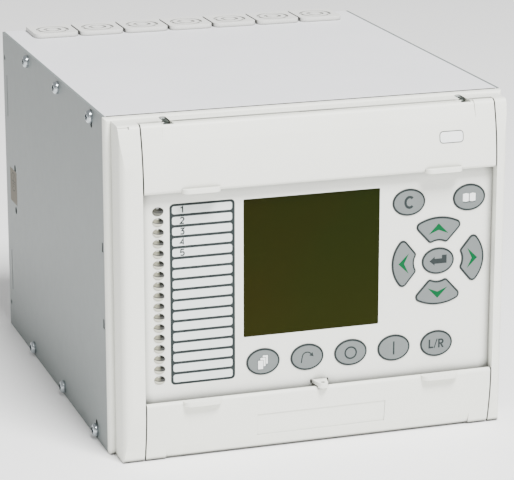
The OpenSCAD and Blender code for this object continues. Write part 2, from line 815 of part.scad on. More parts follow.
// Rim of the bezel: the case's outline with rounded front edges
module bezel_rim() intersection() {
    along_x(-case_w / 2, case_w / 2) polygon(concat(
        [[0, 0], [0, rim_top]],
        arc([rim_r - rim_t, rim_top - rim_r], rim_r, 90, 180, 6),
        arc([rim_r - rim_t, rim_r], rim_r, 180, 270, 6)));
    along_z(0, case_h) polygon(concat(
        [[case_w / 2, 0], [-case_w / 2, 0]],
        arc([rim_r - case_w / 2, rim_r - rim_t], rim_r, 180, 270, 6),
        arc([case_w / 2 - rim_r, rim_r - rim_t], rim_r, 270, 360, 6)));
}

// Body of the bezel: its side outline, with the upright edges rounded
module bezel_body() intersection() {
    along_x(-body_w / 2, body_w / 2) polygon(concat(front_line(), [[0, body_bot], [0, body_top]]));
    along_z(0, case_h) polygon(concat(
        [[body_w / 2, 0], [-body_w / 2, 0]],
        arc([pillar_r - body_w / 2, pillar_r - belly_out], pillar_r, 180, 270, 8),
        arc([body_w / 2 - pillar_r, pillar_r - belly_out], pillar_r, 270, 360, 8)));
}

// Room in front of the panel plate and the flap bays
module bays() {
    front = -belly_out - over;
    block([open_l, front, plate_bot], [open_r, -plate_out, plate_top]);
    block([open_l, front, plate_top], [open_r, -bay_out, cavity_top]);
    block([open_l, front, cavity_bot], [open_r, -bay_out, plate_bot]);
    block([open_l, front, cavity_top - over], [open_r, top_hinge.x + hinge_room, case_h]);
    block([open_l, front, -over], [open_r, bot_hinge.x + hinge_room, cavity_bot + over]);
}

// Hollow behind the panel plate and the bays
module bezel_hollow() {
    block([-cavity_x, -bay_back, cavity_bot], [cavity_x, over, cavity_top]);
    block([open_l, -plate_back, plate_bot + bay_wall], [open_r, -bay_back + over, plate_top - bay_wall]);
}

// Lugs behind the rim's corners, which take the front side screws
module bezel_lugs() both_sides() difference() {
    for (z = [sheet_t, inner_top - lug_h])
        block([-inner_x, -over, z], [-inner_x + lug_w, lug_d, z + lug_h]);
    at_side_screws() bar_x(screw_hole_r, -inner_x - over, -inner_x + lug_w - over / 2);
}

// Blocks behind the top edge that seat the top screws
module top_screw_bosses() {
    for (x = top_screw_x)
        block([x - top_boss_w / 2, -bay_back, body_top - top_boss_h], [x + top_boss_w / 2, 0, body_top]);
}

module at_bosses() for (x = boss_x, z = boss_z) translate([x, 0, z]) children();

// Through-holes of the panel: display, label strip, indicators, keys and tongue
module panel_holes(y0, y1, label = false) {
    along_y(y0, y1) {
        translate([display_x, display_z]) polygon(rounded_rect(display_w, display_h, window_r));
        for (i = [0:led_count - 1])
            translate([led_x, led_at(i)])
                polygon(ellipse(led_w + 2 * insert_gap, led_h + 2 * insert_gap, pipe_sides));
        for (k = key_list) translate([k[2], k[3]]) polygon(key_outline(k, key_gap));
        translate([open_shift, tongue_z + tongue_t / 2])
            square([tongue_w + 2 * tongue_room, tongue_t + 2 * insert_gap], center = true);
        if (label)
            translate([label_x, led_z])
                polygon(rounded_rect(label_w + 2 * insert_gap, label_h + 2 * insert_gap, label_r));
    }
}

module front_bezel() placed(bezel_white) difference() {
    union() {
        difference() {
            union() {
                bezel_rim();
                bezel_body();
            }
            bezel_hollow();
        }
        top_screw_bosses();
        at_bosses() bar_y(boss_d / 2, -plate_back - over, -board_out);
        bezel_lugs();
    }
    bays();
    panel_holes(-plate_out - over, -plate_back + over);
    at_bosses() bar_y(board_screw_d / 2 + shank_gap, -plate_back, -board_out + over);
    for (x = top_screw_x) translate([x, 0, top_screw_z]) {
        bar_y(channel_r, -belly_out, -top_seat);
        bar_y(screw_hole_r, -belly_out, over);
    }
    for (h = [top_hinge, bot_hinge]) translate([0, h.x, h.y])
        bar_x(pin_d / 2 + pin_gap, open_l - pin_hole_depth, open_r + pin_hole_depth);
    translate([0, top_hinge.x + edge_r * cos(groove_a), top_hinge.y + edge_r * sin(groove_a)]) {
        bar_x(groove_r, -body_w / 2 - over, groove_end);
        bar_x(2 * groove_r, groove_end - 2 * groove_r, groove_end);
    }
    block([open_shift - top_slot_w / 2, -belly_out, body_top - top_slot_z - top_slot_h],
        [open_shift + top_slot_w / 2, top_hinge.x + hinge_room + top_slot_d, body_top - top_slot_z]);
    translate([port_mid_x, 0, port_mid_z])
        block([-shell_w / 2 - insert_gap, -bay_out - over, -shell_h / 2 - insert_gap],
            [shell_w / 2 + insert_gap, -bay_back + over, shell_h / 2 + insert_gap]);
}

// Slotted screws that hold the bezel to the top panel's tabs
module top_screws() placed(zinc) for (x = top_screw_x) translate([x, 0, top_screw_z]) {
    difference() {
        bar_y(top_head_d / 2, -top_seat - top_head_h, -top_seat);
        block([-top_head_d, -top_seat - top_head_h - over, -top_head_h / 6],
            [top_head_d, -top_seat - top_head_h / 2, top_head_h / 6]);
    }
    bar_y(screw_d / 2, -top_seat, top_screw_len - top_seat);
}

// Printed film over the panel plate
module front_overlay() placed(bezel_white) difference() {
    block([open_l + insert_gap, -overlay_out, plate_bot + insert_gap],
        [open_r - insert_gap, -plate_out, plate_top - insert_gap]);
    panel_holes(-overlay_out - over, -plate_out + over, true);
}

// Label strip with one sunk field for each indicator
module label_strip() placed(key_grey) difference() {
    along_y(-overlay_out, -plate_out)
        translate([label_x, led_z]) polygon(rounded_rect(label_w, label_h, label_r - insert_gap));
    for (i = [0:led_count - 1])
        along_y(-overlay_out - over, -overlay_out + label_d) translate([label_x, led_at(i)])
            polygon(rounded_rect(label_w - 2 * label_line, led_pitch - label_line, field_r));
}

// One clear moulding with a domed lens for each indicator
module led_light_pipe() placed([0.80, 0.82, 0.72, 0.9]) {
    block([led_x - pipe_bar_w / 2, -pipe_seat, led_at(led_count - 1) - led_pitch / 2],
        [led_x + pipe_bar_w / 2, -pipe_seat + pipe_bar_t, led_at(0) + led_pitch / 2]);
    for (i = [0:led_count - 1]) translate([led_x, 0, led_at(i)]) {
        along_y(-overlay_out, -pipe_seat) polygon(ellipse(led_w, led_h, pipe_sides));
        translate([0, -overlay_out, 0]) rotate([90, 0, 0])
            linear_extrude(led_dome, scale = dome_taper) polygon(ellipse(led_w, led_h, pipe_sides));
    }
}

module display_window() placed([0.22, 0.22, 0.08, 0.8]) along_y(-overlay_out, -window_back)
    translate([display_x, display_z])
        polygon(rounded_rect(display_w - 2 * insert_gap, display_h - 2 * insert_gap, window_r));

// Display module: its glass in the panel's window and its frame behind the plate
module display_module() placed([0.30, 0.32, 0.30]) translate([display_x, 0, display_z]) {
    glass_w = display_w - 2 * insert_gap;
    glass_h = display_h - 2 * insert_gap;
    block([-glass_w / 2, -window_back, -glass_h / 2], [glass_w / 2, -plate_back, glass_h / 2]);
    block([-display_w / 2 - lcd_margin, -plate_back, -display_h / 2 - lcd_margin],
        [display_w / 2 + lcd_margin, -lcd_back, display_h / 2 + lcd_margin]);
}

// Board behind the panel, with the indicator diodes
module control_board() placed(board_green) difference() {
    union() {
        block([board_l, -board_out, board_bot], [board_r, -board_out + pcb_t, board_top]);
        for (i = [0:led_count - 1])
            block([led_x - led_h / 2, -pipe_seat + pipe_bar_t, led_at(i) - led_h / 3],
                [led_x + led_h / 2, -board_out, led_at(i) + led_h / 3]);
    }
    at_bosses() bar_y(board_screw_d / 2 + shank_gap, -board_out - over, -board_out + pcb_t + over);
}

module board_screws() placed(zinc) at_bosses() {
    bar_y(board_screw_d / 2, -plate_back + over, -board_out + pcb_t);
    bar_y(board_screw_d, -board_out + pcb_t, -board_out + pcb_t + board_head_h);
}

// Tactile switches, one under each key
module key_switches() placed([0.15, 0.15, 0.16]) for (k = key_list) {
    at = switch_at(k);
    translate([at.x, 0, at.y]) {
        block([-switch_w / 2, -switch_top + over, -switch_w / 2], [switch_w / 2, -board_out, switch_w / 2]);
        bar_y(stem_r, -switch_top, -switch_top + over);
    }
}

// Key: a face that stands through the panel, a collar behind the plate and a stem over its switch
module key(i) placed(key_grey) {
    k = key_list[i];
    at = switch_at(k);
    along_y(-overlay_out - key_rise, -collar_front) translate([k[2], k[3]]) polygon(key_outline(k, 0));
    along_y(-collar_front, -collar_front + collar_t) translate([k[2], k[3]])
        polygon(key_outline(k, collar_w));
    translate([at.x, 0, at.y]) bar_y(stem_r, -collar_front + collar_t, -stem_tip);
}

module key_clear() key(0);
module key_read() key(1);
module key_up() key(2);
module key_left() key(3);
module key_enter() key(4);
module key_right() key(5);
module key_down() key(6);
module key_page() key(7);
module key_jump() key(8);
module key_open() key(9);
module key_close() key(10);
module key_remote() key(11);

// Finger tabs along a flap's free edge
module finger_tabs(z0) for (side = [-1, 1]) translate([open_shift + side * tab_spread / 2, 0, 0])
    along_z(z0, z0 + tab_t) polygon(concat(
        [[tab_w / 2, -belly_out + flap_t], [-tab_w / 2, -belly_out + flap_t]],
        arc([tab_out - tab_w / 2, -belly_out], tab_out, 180, 270, 6),
        arc([tab_w / 2 - tab_out, -belly_out], tab_out, 270, 360, 6)));

// Hinge pins moulded on both ends of a flap's barrel
module hinge_pins(h) translate([0, h.x, h.y])
    bar_x(pin_d / 2, open_l + end_gap - pin_len, open_r - end_gap + pin_len);

// Hinge edge of a flap set back between its ends: from angle a0 on the crown, round the barrel to angle a2
module hinge_relief(c, r, h, a0, a1, a2)
    along_x(open_l + end_gap + relief_end, open_r - end_gap - relief_end) polygon(concat(
        arc(c, r + over, a0, a1, 8),
        arc(h, edge_r + over, a1, a2, 8, 1),
        arc(h, edge_r - relief_d, a2, a1, 8),
        [c + r * [cos(a0), sin(a0)]]));

// Upper flap: a curved wall that hangs from a barrel
module upper_flap() placed(bezel_white) {
    in_r = top_r - flap_t;
    lip_a = 180 - asin(lip_r / (top_r - lip_r));
    relief_a = 180 - asin((top_hinge.y - relief_upper - top_c.y) / top_r);
    in_a = 180 - asin((top_hinge.y - edge_r * sin(barrel_open) - top_c.y) / in_r);
    difference() {
        union() {
            along_x(open_l + end_gap, open_r - end_gap) polygon(concat(
                arc(top_hinge, edge_r, -barrel_open, top_a, 20),
                arc(top_c, top_r, top_a, lip_a, 16, 1),
                arc(top_c + (top_r - lip_r) * [cos(lip_a), sin(lip_a)], lip_r, lip_a, 270, 8, 1),
                arc(top_c, in_r, 180, in_a, 16)));
            finger_tabs(upper_z);
            hinge_pins(top_hinge);
        }
        for (x = top_screw_x) translate([x, 0, top_screw_z])
            bar_y(channel_r, top_hinge.x - edge_r / 3, 0);
        hinge_relief(top_c, top_r, top_hinge, relief_a, top_a, 90);
    }
}

// Lower flap: a curved wall that stands on a barrel, with a shallow label recess
module lower_flap() placed(bezel_white) {
    in_r = bot_r - flap_t;
    lip_a = 180 + asin(lip_r / (bot_r - lip_r));
    relief_a = 180 + asin((bot_c.y - bot_hinge.y - relief_lower) / bot_r);
    in_a = 180 + asin((bot_c.y - bot_hinge.y - edge_r * sin(barrel_open)) / in_r);
    recess_z = bot_hinge.y + recess_up;
    recess_a0 = 180 + asin((bot_c.y - recess_z - recess_h / 2) / bot_r);
    recess_a1 = 180 + asin((bot_c.y - recess_z + recess_h / 2) / bot_r);
    difference() {
        union() {
            along_x(open_l + end_gap, open_r - end_gap) polygon(concat(
                arc(bot_c + (bot_r - lip_r) * [cos(lip_a), sin(lip_a)], lip_r, 90, lip_a, 8),
                arc(bot_c, bot_r, lip_a, bot_a, 16, 1),
                arc(bot_hinge, edge_r, bot_a, 360 + barrel_open, 20, 1),
                arc(bot_c, in_r, in_a, 180, 16)));
            finger_tabs(lower_z - tab_t);
            hinge_pins(bot_hinge);
        }
        along_x(open_shift - recess_w / 2, open_shift + recess_w / 2) polygon(concat(
            arc(bot_c, bot_r + over, recess_a0, recess_a1, 8),
            arc(bot_c, bot_r - recess_d, recess_a1, recess_a0, 8)));
        hinge_relief(bot_c, bot_r, bot_hinge, relief_a, bot_a, 270);
    }
}

// Tongue through the panel above the lower flap, with a hooked tip drilled for a seal wire
module sealing_tongue() placed(bezel_white) translate([open_shift, 0, 0]) difference() {
    union() {
        along_z(tongue_z, tongue_z + tongue_t) polygon([
            [tongue_w / 2, -plate_back], [-tongue_w / 2, -plate_back], [-tongue_w / 2, -overlay_out],
            [-tongue_tip_w / 2, tongue_bend], [tongue_tip_w / 2, tongue_bend], [tongue_w / 2, -overlay_out]]);
        along_z(tongue_z - tongue_hook, tongue_z + tongue_t)
            polygon(arc([0, tongue_bend], tongue_tip_w / 2, 180, 360, 12));
        block([-tongue_w / 2, -plate_back, tongue_z - tongue_t / 2],
            [tongue_w / 2, -plate_back + tongue_t, tongue_z + 3 * tongue_t / 2]);
    }
    translate([0, tongue_bend, tongue_z - tongue_hook - over])
        cylinder(r = tongue_hole_r, h = tongue_t + tongue_hook + 2 * over);
}

// Nine-way service port on the floor of the lower bay
module service_port() placed(zinc) translate([port_mid_x, 0, port_mid_z]) {
    block([-port_w / 2, -bay_out - port_flange_t, -port_h / 2], [port_w / 2, -bay_out, port_h / 2]);
    block([-shell_w / 2, -bay_out, -shell_h / 2], [shell_w / 2, -bay_out + port_body_d, shell_h / 2]);
    slant = shell_h / 6;
    along_y(-bay_out - port_flange_t - shell_len, -bay_out - port_flange_t)
        polygon([[-shell_w / 2, shell_h / 2], [slant - shell_w / 2, -shell_h / 2],
            [shell_w / 2 - slant, -shell_h / 2], [shell_w / 2, shell_h / 2]]);
    for (side = [-1, 1]) translate([side * (port_w / 2 - post_r - over), 0, 0]) rotate([90, 0, 0])
        translate([0, 0, bay_out + port_flange_t]) cylinder(r = post_r, h = shell_len, $fn = 6);
}

// Board across the front of the card space, which every card plugs into
module bus_board() placed(board_green)
    block([-inner_x + sheet_t + bus_margin, bus_back, sheet_t + bus_margin],
        [inner_x - sheet_t - bus_margin, bus_rear, inner_top - bus_margin]);

// Connector between the control board and the bus board
module board_connector() placed(terminal_dark)
    block([open_shift - link_w / 2, -board_out + pcb_t, row_z - link_h / 2],
        [open_shift + link_w / 2, bus_back, row_z + link_h / 2]);

// Plug-in card with its bus connector
module card(i) {
    x = card_x(i);
    block([x - pcb_t / 2, card_front, card_low], [x + pcb_t / 2, card_rear, card_high]);
    block([x - bus_plug_w / 2, bus_rear, mid_z - bus_plug_h / 2],
        [x + bus_plug_w / 2, bus_rear + bus_plug_d, mid_z + bus_plug_h / 2]);
}

// Soldered part on the right face of a card, at a share of the card's length and height
module soldered(i, at, size) {
    y = card_front + bus_plug_d + at.x * (card_rear - card_front - bus_plug_d);
    z = card_low + at.y * (card_high - card_low);
    block([card_x(i), y - size.y / 2, z - size.z / 2],
        [card_x(i) + pcb_t / 2 + size.x, y + size.y / 2, z + size.z / 2]);
}

module processor_board() placed(board_green) {
    card(0);
    soldered(0, [0.4, 0.55], chip);
    for (k = [0:3]) soldered(0, [0.7, 0.25 + 0.15 * k], memory_chip);
}

// Card with two columns of switching relays
module relay_board() placed(board_green) {
    card(1);
    for (c = [0.35, 0.7], r = [0:4]) soldered(1, [c, 0.18 + 0.16 * r], relay_can);
}

// Card with a column of opto-couplers for the binary inputs
module input_board() placed(board_green) {
    card(2);
    for (r = [0:9]) soldered(2, [0.75, 0.14 + 0.08 * r], coupler);
    soldered(2, [0.35, 0.5], converter);
}

// Card with the measuring transformers
module transformer_board() placed(board_green) {
    card(3);
    for (c = [0.3, 0.72], r = [0:2]) soldered(3, [c, 0.22 + 0.28 * r], transformer_can);
}

// Card with the power supply: a transformer, capacitors and a finned heat sink
module power_board() placed(board_green) {
    card(4);
    soldered(4, [0.3, 0.3], choke);
    for (k = [0:2]) soldered(4, [0.3 + 0.2 * k, 0.6], capacitor);
    for (k = [0:4]) soldered(4, [0.6 + 0.06 * k, 0.25], sink_fin);
    soldered(4, [0.72, 0.25], sink_base);
}

// Grooved rails that carry the cards, one under each
module card_guides() {
    for (i = [0:4]) difference() {
        block([card_x(i) - guide_w / 2, bus_rear, sheet_t],
            [card_x(i) + guide_w / 2, rear_front, sheet_t + guide_h]);
        block([card_x(i) - pcb_t / 2 - card_gap, bus_rear - over, sheet_t + guide_h - guide_slot],
            [card_x(i) + pcb_t / 2 + card_gap, rear_front + over, sheet_t + guide_h + over]);
    }
}

module lower_card_guides() placed(terminal_dark) card_guides();

module upper_card_guides() placed(terminal_dark) translate([0, 0, case_h]) mirror([0, 0, 1]) card_guides();

// Root of a terminal block, through the rear plate to its card
module term_root(x, w) block([x - w / 2 + root_inset, card_rear, term_bot + root_inset],
    [x + w / 2 - root_inset, rear_face, term_bot + term_h - root_inset]);

// Places of a signal block's ways
module at_ways(i) for (n = [1:term_ways]) translate([card_x(i), 0, term_bot + n * term_step]) children();

// Signal terminal block: a column of wire funnels beside a column of screw wells
module signal_block(i) placed(terminal_dark) difference() {
    union() {
        block([card_x(i) - term_w / 2, rear_face, term_bot],
            [card_x(i) + term_w / 2, rear_face + term_d, term_bot + term_h]);
        term_root(card_x(i), term_w);
    }
    at_ways(i) {
        block([-term_w / 4 - wire_w / 2, rear_face + term_d - wire_d, -wire_w / 2],
            [-term_w / 4 + wire_w / 2, rear_face + term_d + over, wire_w / 2]);
        translate([term_w / 4, 0, 0]) {
            bar_y(term_screw_r + shank_gap, rear_face + term_d - term_well, rear_face + term_d + over);
            bar_y(term_screw_r / 2 + shank_gap, rear_face + term_d - wire_d, rear_face + term_d);
        }
    }
}

module relay_terminals() signal_block(1);
module input_terminals() signal_block(2);
module power_terminals() signal_block(4);

// Slotted screw along y, its head's seat at y = 0
module slot_screw(r, h, shank) {
    difference() {
        bar_y(r, 0, h);
        block([-r - over, h / 2, -r / 6], [r + over, h + over, r / 6]);
    }
    bar_y(r / 2, -shank, 0);
}

module signal_screws() placed(zinc) for (i = [1, 2, 4]) at_ways(i)
    translate([term_w / 4, rear_face + term_d - term_well, 0])
        slot_screw(term_screw_r, term_screw_h, wire_d - term_well - over);

// Places of the transformer block's screws
module at_heavy() for (side = [-1, 1], r = [0:heavy_rows - 1])
    translate([card_x(3) + side * heavy_w / 4, 0, term_bot + heavy_fin / 2 + (r + 0.5) * heavy_step])
        children();

// Transformer terminal block: a base with barriers between its ring-terminal screws
module transformer_terminals() placed(terminal_dark) difference() {
    union() {
        block([card_x(3) - heavy_w / 2, rear_face, term_bot],
            [card_x(3) + heavy_w / 2, rear_face + heavy_base, term_bot + term_h]);
        for (r = [0:heavy_rows]) block([card_x(3) - heavy_w / 2, rear_face, term_bot + r * heavy_step],
            [card_x(3) + heavy_w / 2, rear_face + term_d, term_bot + r * heavy_step + heavy_fin]);
        block([card_x(3) - heavy_fin / 2, rear_face, term_bot],
            [card_x(3) + heavy_fin / 2, rear_face + term_d, term_bot + term_h]);
        term_root(card_x(3), heavy_w);
    }
    at_heavy() bar_y(heavy_screw_r / 2 + shank_gap, rear_face + over, rear_face + heavy_base + over);
}

module heavy_screws() placed(zinc) at_heavy() translate([0, rear_face + heavy_base, 0])
    slot_screw(heavy_screw_r, heavy_screw_h, heavy_base - 2 * over);

left_side_panel();
right_side_panel();
top_panel();
bottom_panel();
rear_plate();
rear_plate_screws();
side_screws();
cable_plugs();
front_bezel();
top_screws();
front_overlay();
label_strip();
led_light_pipe();
display_window();
display_module();
control_board();
board_screws();
key_switches();
key_clear();
key_read();
key_up();
key_left();
key_enter();
key_right();
key_down();
key_page();
key_jump();
key_open();
key_close();
key_remote();
upper_flap();
lower_flap();
sealing_tongue();
service_port();
bus_board();
board_connector();
processor_board();
relay_board();
input_board();
transformer_board();
power_board();
upper_card_guides();
lower_card_guides();
relay_terminals();
input_terminals();
power_terminals();
transformer_terminals();
signal_screws();
heavy_screws();
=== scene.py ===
# %% [markdown]
# # A protection relay in Blender
#
# A protection relay watches a power line and trips a breaker when the current goes wrong. This one
# is a painted steel case with a moulded front: keys, a display and indicators between two hinged
# flaps. CAD made the solids. This script adds what only the eye needs: finishes, prints, soft edges,
# a floor, light and a camera. The cells run in order, and each prints what it made or measured.

# %% Load the CAD parts
import json
import math

import bmesh
import bpy
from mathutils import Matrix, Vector


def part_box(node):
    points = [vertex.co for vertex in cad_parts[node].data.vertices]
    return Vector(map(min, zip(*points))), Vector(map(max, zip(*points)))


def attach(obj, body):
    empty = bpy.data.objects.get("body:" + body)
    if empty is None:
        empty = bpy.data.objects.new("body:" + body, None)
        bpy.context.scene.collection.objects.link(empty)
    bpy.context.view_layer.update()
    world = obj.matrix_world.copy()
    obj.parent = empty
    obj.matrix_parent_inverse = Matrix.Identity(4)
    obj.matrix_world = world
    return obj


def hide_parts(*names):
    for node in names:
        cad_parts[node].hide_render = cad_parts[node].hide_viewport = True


MM = 0.001
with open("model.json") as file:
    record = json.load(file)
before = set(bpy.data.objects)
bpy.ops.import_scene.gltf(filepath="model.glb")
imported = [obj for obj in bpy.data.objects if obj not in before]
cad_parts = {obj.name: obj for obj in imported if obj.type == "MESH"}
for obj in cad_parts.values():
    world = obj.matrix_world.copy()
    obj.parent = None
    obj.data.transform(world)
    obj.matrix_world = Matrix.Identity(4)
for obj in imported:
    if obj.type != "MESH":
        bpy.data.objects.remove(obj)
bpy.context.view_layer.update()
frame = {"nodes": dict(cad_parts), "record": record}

# %% [markdown]
# ## Camera
#
# The photograph was taken from the front left and a little above, through a long lens. Such a view
# can be matched by eye, or solved: the corners of the case have known places, so the camera that
# shows them where the photograph does can be worked out. It was solved. The camera's place is
# counted from the front edge of the case.

# %% Place the camera
IMAGE_W = 514
FOCAL_PX = 2430
SENSOR_MM = 36
CAMERA_X, CAMERA_AHEAD, CAMERA_Z = -0.3989, 1.1378, 0.4505
LOOK_DOWN, LOOK_RIGHT = 16.02, 18.15

FRONT_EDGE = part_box("left_side_panel")[0][1]
camera_data = bpy.data.cameras.new("camera")
camera_data.sensor_width = SENSOR_MM
camera_data.lens = FOCAL_PX * SENSOR_MM / IMAGE_W
camera = bpy.data.objects.new("camera", camera_data)
camera.location = (CAMERA_X, FRONT_EDGE - CAMERA_AHEAD, CAMERA_Z)
camera.rotation_euler = (math.radians(90 - LOOK_DOWN), 0, math.radians(-LOOK_RIGHT))
bpy.context.collection.objects.link(camera)
bpy.context.scene.camera = camera
print("lens:", round(camera_data.lens, 1), "mm")

# %% [markdown]
# ## Colours and nodes
#
# A screen stores a colour along a curve, while light adds up in straight numbers. So each colour is
# written as a hex code, as a paint card would give it, and one function straightens it. A shader is
# a tree of nodes, and another function adds one node: first its settings, then a value or a link
# for each input. A Mix node has inputs for every kind of data, so its share and its two colours are
# found by number: _0, _6 and _7.

# %% Helpers for colours, nodes and materials
MIX_COLOURS = {"data_type": "RGBA"}


def linear(hex_code):
    parts = [int(hex_code[i:i + 2], 16) / 255 for i in (0, 2, 4)]
    return [c / 12.92 if c <= 0.04045 else ((c + 0.055) / 1.055) ** 2.4 for c in parts] + [1]


def add(tree, kind, settings=None, **inputs):
    node = tree.nodes.new(kind)
    for key, value in (settings or {}).items():
        setattr(node, key, value)
    for key, value in inputs.items():
        socket = node.inputs[int(key[1:]) if key.startswith("_") else key.replace("_", " ")]
        if isinstance(value, bpy.types.NodeSocket):
            tree.links.new(value, socket)
        else:
            socket.default_value = value
    return node


def new_material(name, hex_code, roughness, **values):
    material = bpy.data.materials.new(name)
    material.use_nodes = True
    tree = material.node_tree
    shader = tree.nodes["Principled BSDF"]
    shader.inputs["Base Color"].default_value = linear(hex_code)
    shader.inputs["Roughness"].default_value = roughness
    for key, value in values.items():
        shader.inputs[key.replace("_", " ")].default_value = value
    return material, tree, shader


print("screen grey 808080 is", round(linear("808080")[0], 3), "in straight light")

# %% [markdown]
# ## One recipe for plain surfaces
#
# No real surface has one flat colour. Paint and plastic drift in shade over a few centimetres, have
# a fine relief that breaks up reflections, and shine a little unevenly. Images could carry that, but
# noise in the shader has no pixels and no seams, so it holds from any distance. Each pattern has its
# size in millimetres and reads the piece's own coordinates, so it stays put when a flap moves.

# %% Recipe for a plain surface
def surface(name, low, high, roughness, cloud_mm, bumps=None, gloss=None, **values):
    material, tree, shader = new_material(name, high, roughness, **values)
    place = add(tree, "ShaderNodeTexCoord").outputs["Object"]
    cloud = add(tree, "ShaderNodeTexNoise", Vector=place, Scale=1 / (cloud_mm * MM), Detail=2)
    colour = add(tree, "ShaderNodeMix", MIX_COLOURS,
                 _0=cloud.outputs["Fac"], _6=linear(low), _7=linear(high))
    tree.links.new(colour.outputs[2], shader.inputs["Base Color"])
    if bumps:
        height = add(tree, "ShaderNodeTexNoise", Vector=place,
                     Scale=1 / (bumps["size_mm"] * MM), Detail=bumps["detail"])
        bump = add(tree, "ShaderNodeBump", Height=height.outputs["Fac"],
                   Distance=bumps["depth_mm"] * MM, Strength=bumps["strength"])
        tree.links.new(bump.outputs["Normal"], shader.inputs["Normal"])
    if gloss:
        patch = add(tree, "ShaderNodeTexNoise", Vector=place, Scale=1 / (gloss["size_mm"] * MM), Detail=2)
        shine = add(tree, "ShaderNodeMapRange", Value=patch.outputs["Fac"],
                    To_Min=gloss["least"], To_Max=gloss["most"])
        tree.links.new(shine.outputs["Result"], shader.inputs["Roughness"])
    return material


print("recipe: shade, relief and gloss from three noises")

# %% [markdown]
# ## Painted sheet
#
# The case is folded sheet steel under powder paint. The paint melts into a skin with an orange peel
# about a millimetre wide, which spreads a reflection but leaves the colour even. The relief could be
# modelled, but it is only hundredths of a millimetre deep, so a bump in the shader is enough. A
# roughness near 0.4 is usual for satin paint.

# %% Painted sheet
def painted_sheet(name, low, high):
    return surface(name, low, high, 0.42, cloud_mm=45,
                   bumps={"size_mm": 0.9, "detail": 2, "depth_mm": 0.015, "strength": 0.4},
                   gloss={"size_mm": 6, "least": 0.4, "most": 0.46})


# A cool mid grey with a broad, soft shine.
SIDE_PAINT = painted_sheet("grey_painted_sheet", "666D6C", "6C7372")
# A pale grey that takes the light of the room almost like the plastic beside it.
TOP_PAINT = painted_sheet("light_grey_painted_sheet", "DBDCDF", "E3E3E6")
print("paints:", SIDE_PAINT.name, TOP_PAINT.name)

# %% [markdown]
# ## Moulded plastic
#
# The bezel, the flaps and the plugs are injection mouldings, and their moulds have a fine texture.
# Real mould texture is a few hundredths of a millimetre wide. It is drawn ten times coarser here, so
# that a close view still shows it. A roughness near 0.45 is usual for such plastic. Narrow corners
# look darker than the plain lights make them, so a node that measures how open a point is paints
# shade into the colour where it lies deep in a corner.

# %% Moulded plastic
def moulded(name, low, high, roughness=0.46, depth_mm=0.02):
    return surface(name, low, high, roughness, cloud_mm=30,
                   bumps={"size_mm": 0.35, "detail": 3, "depth_mm": depth_mm, "strength": 0.6},
                   gloss={"size_mm": 4, "least": roughness - 0.05, "most": roughness + 0.05})


# Painted shade: the colour turns towards dark where a point lies deep in a corner.
def paint_corner_shade(material, reach_mm, dark, closed, free):
    tree = material.node_tree
    base = tree.nodes["Principled BSDF"].inputs["Base Color"]
    plain = base.links[0].from_socket
    openness = add(tree, "ShaderNodeAmbientOcclusion", {"samples": 8}, Distance=reach_mm * MM)
    share = add(tree, "ShaderNodeMapRange", Value=openness.outputs["AO"], From_Min=closed, From_Max=free)
    mixed = add(tree, "ShaderNodeMix", MIX_COLOURS, _0=share.outputs["Result"], _6=linear(dark), _7=plain)
    tree.links.new(mixed.outputs[2], base)


# ABS from a textured mould: a warm off-white and matt, with painted shade in its gaps and corners.
BEZEL = moulded("offwhite_moulded_abs", "E5E6DD", "EAEBE2")
paint_corner_shade(BEZEL, reach_mm=4, dark="4A4B46", closed=0.15, free=0.8)
# A soft elastomer: greyer and duller than the bezel, with painted shade in its grooves so that they read as
# rings.
PLUG = moulded("grey_moulded_elastomer", "CECECA", "D6D6D2", 0.6)
paint_corner_shade(PLUG, reach_mm=2, dark="5A5A56", closed=0.3, free=0.95)
# Nylon filled with glass fibre: nearly black and dull, so that terminals read as deep blocks.
DARK = moulded("dark_glass_filled_nylon", "141615", "1A1D1B", 0.55)
print("plastics:", BEZEL.name, PLUG.name, DARK.name)

# %% [markdown]
# ## Film, paper and ink
#
# The front is covered by a printed polyester film, and the keys by a grey one that is embossed. A
# printed colour could be painted on the film by its shader. Separate thin pieces are used instead,
# because their edges stay sharp in a close view. Ink is dull: a normal shine would lift a dark line
# to grey, so its reflection is kept low. The grain of paper and ink is finer than the 0.15 mm drawn
# here, which is as fine as a close view can show.

# %% Film, paper and ink
def ink(name, low, high):
    return surface(name, low, high, 0.55, cloud_mm=3,
                   bumps={"size_mm": 0.15, "detail": 2, "depth_mm": 0.006, "strength": 0.5},
                   Specular_IOR_Level=0.1)


FILM_RELIEF = 0.008
# Matt polyester film: even and off-white, with painted shade in its corners and under the edges of the
# flaps.
FILM = moulded("matt_printed_film", "E2E3DC", "E7E8E1", 0.5, FILM_RELIEF)
paint_corner_shade(FILM, reach_mm=6, dark="4C4D48", closed=0.4, free=0.92)
# Embossed film over the keys: a cool grey, darker than the panel around it.
KEY_FILM = moulded("grey_embossed_film", "636968", "6A7070", 0.5, FILM_RELIEF)
# Uncoated paper: a flat, slightly cool white.
PAPER = ink("white_label_paper", "D6DCDA", "DDE3E1")
# Screen inks: flat colours with hardly any shine.
DARK_INK = ink("dark_grey_ink", "282E2E", "2F3535")
WHITE_INK = ink("white_ink", "E6E9E8", "EDEFEE")
GREEN_INK = ink("green_ink", "004F29", "00552E")
# Solder mask on a board: a deep green that shines like varnish.
BOARD = moulded("green_solder_mask", "06301A", "0A3A22", 0.3)
# Zinc left unpainted where an earth lead is bolted on: a dull, brownish grey.
BARE = ink("bare_zinc_patch", "645F54", "6C675B")
print("films and inks:", FILM.name, KEY_FILM.name, DARK_INK.name, GREEN_INK.name)

# %% [markdown]
# ## Metal
#
# Screws are plated with bright zinc, terminals and the port's shell with tin. Both are crystals a
# millimetre or less across, so the shade and the gloss change from spot to spot, and a screw head
# glitters. Metal without that would look like a mirror. Bright plating has a roughness near 0.2, dull
# plating near 0.35, and both keep the default index of refraction.

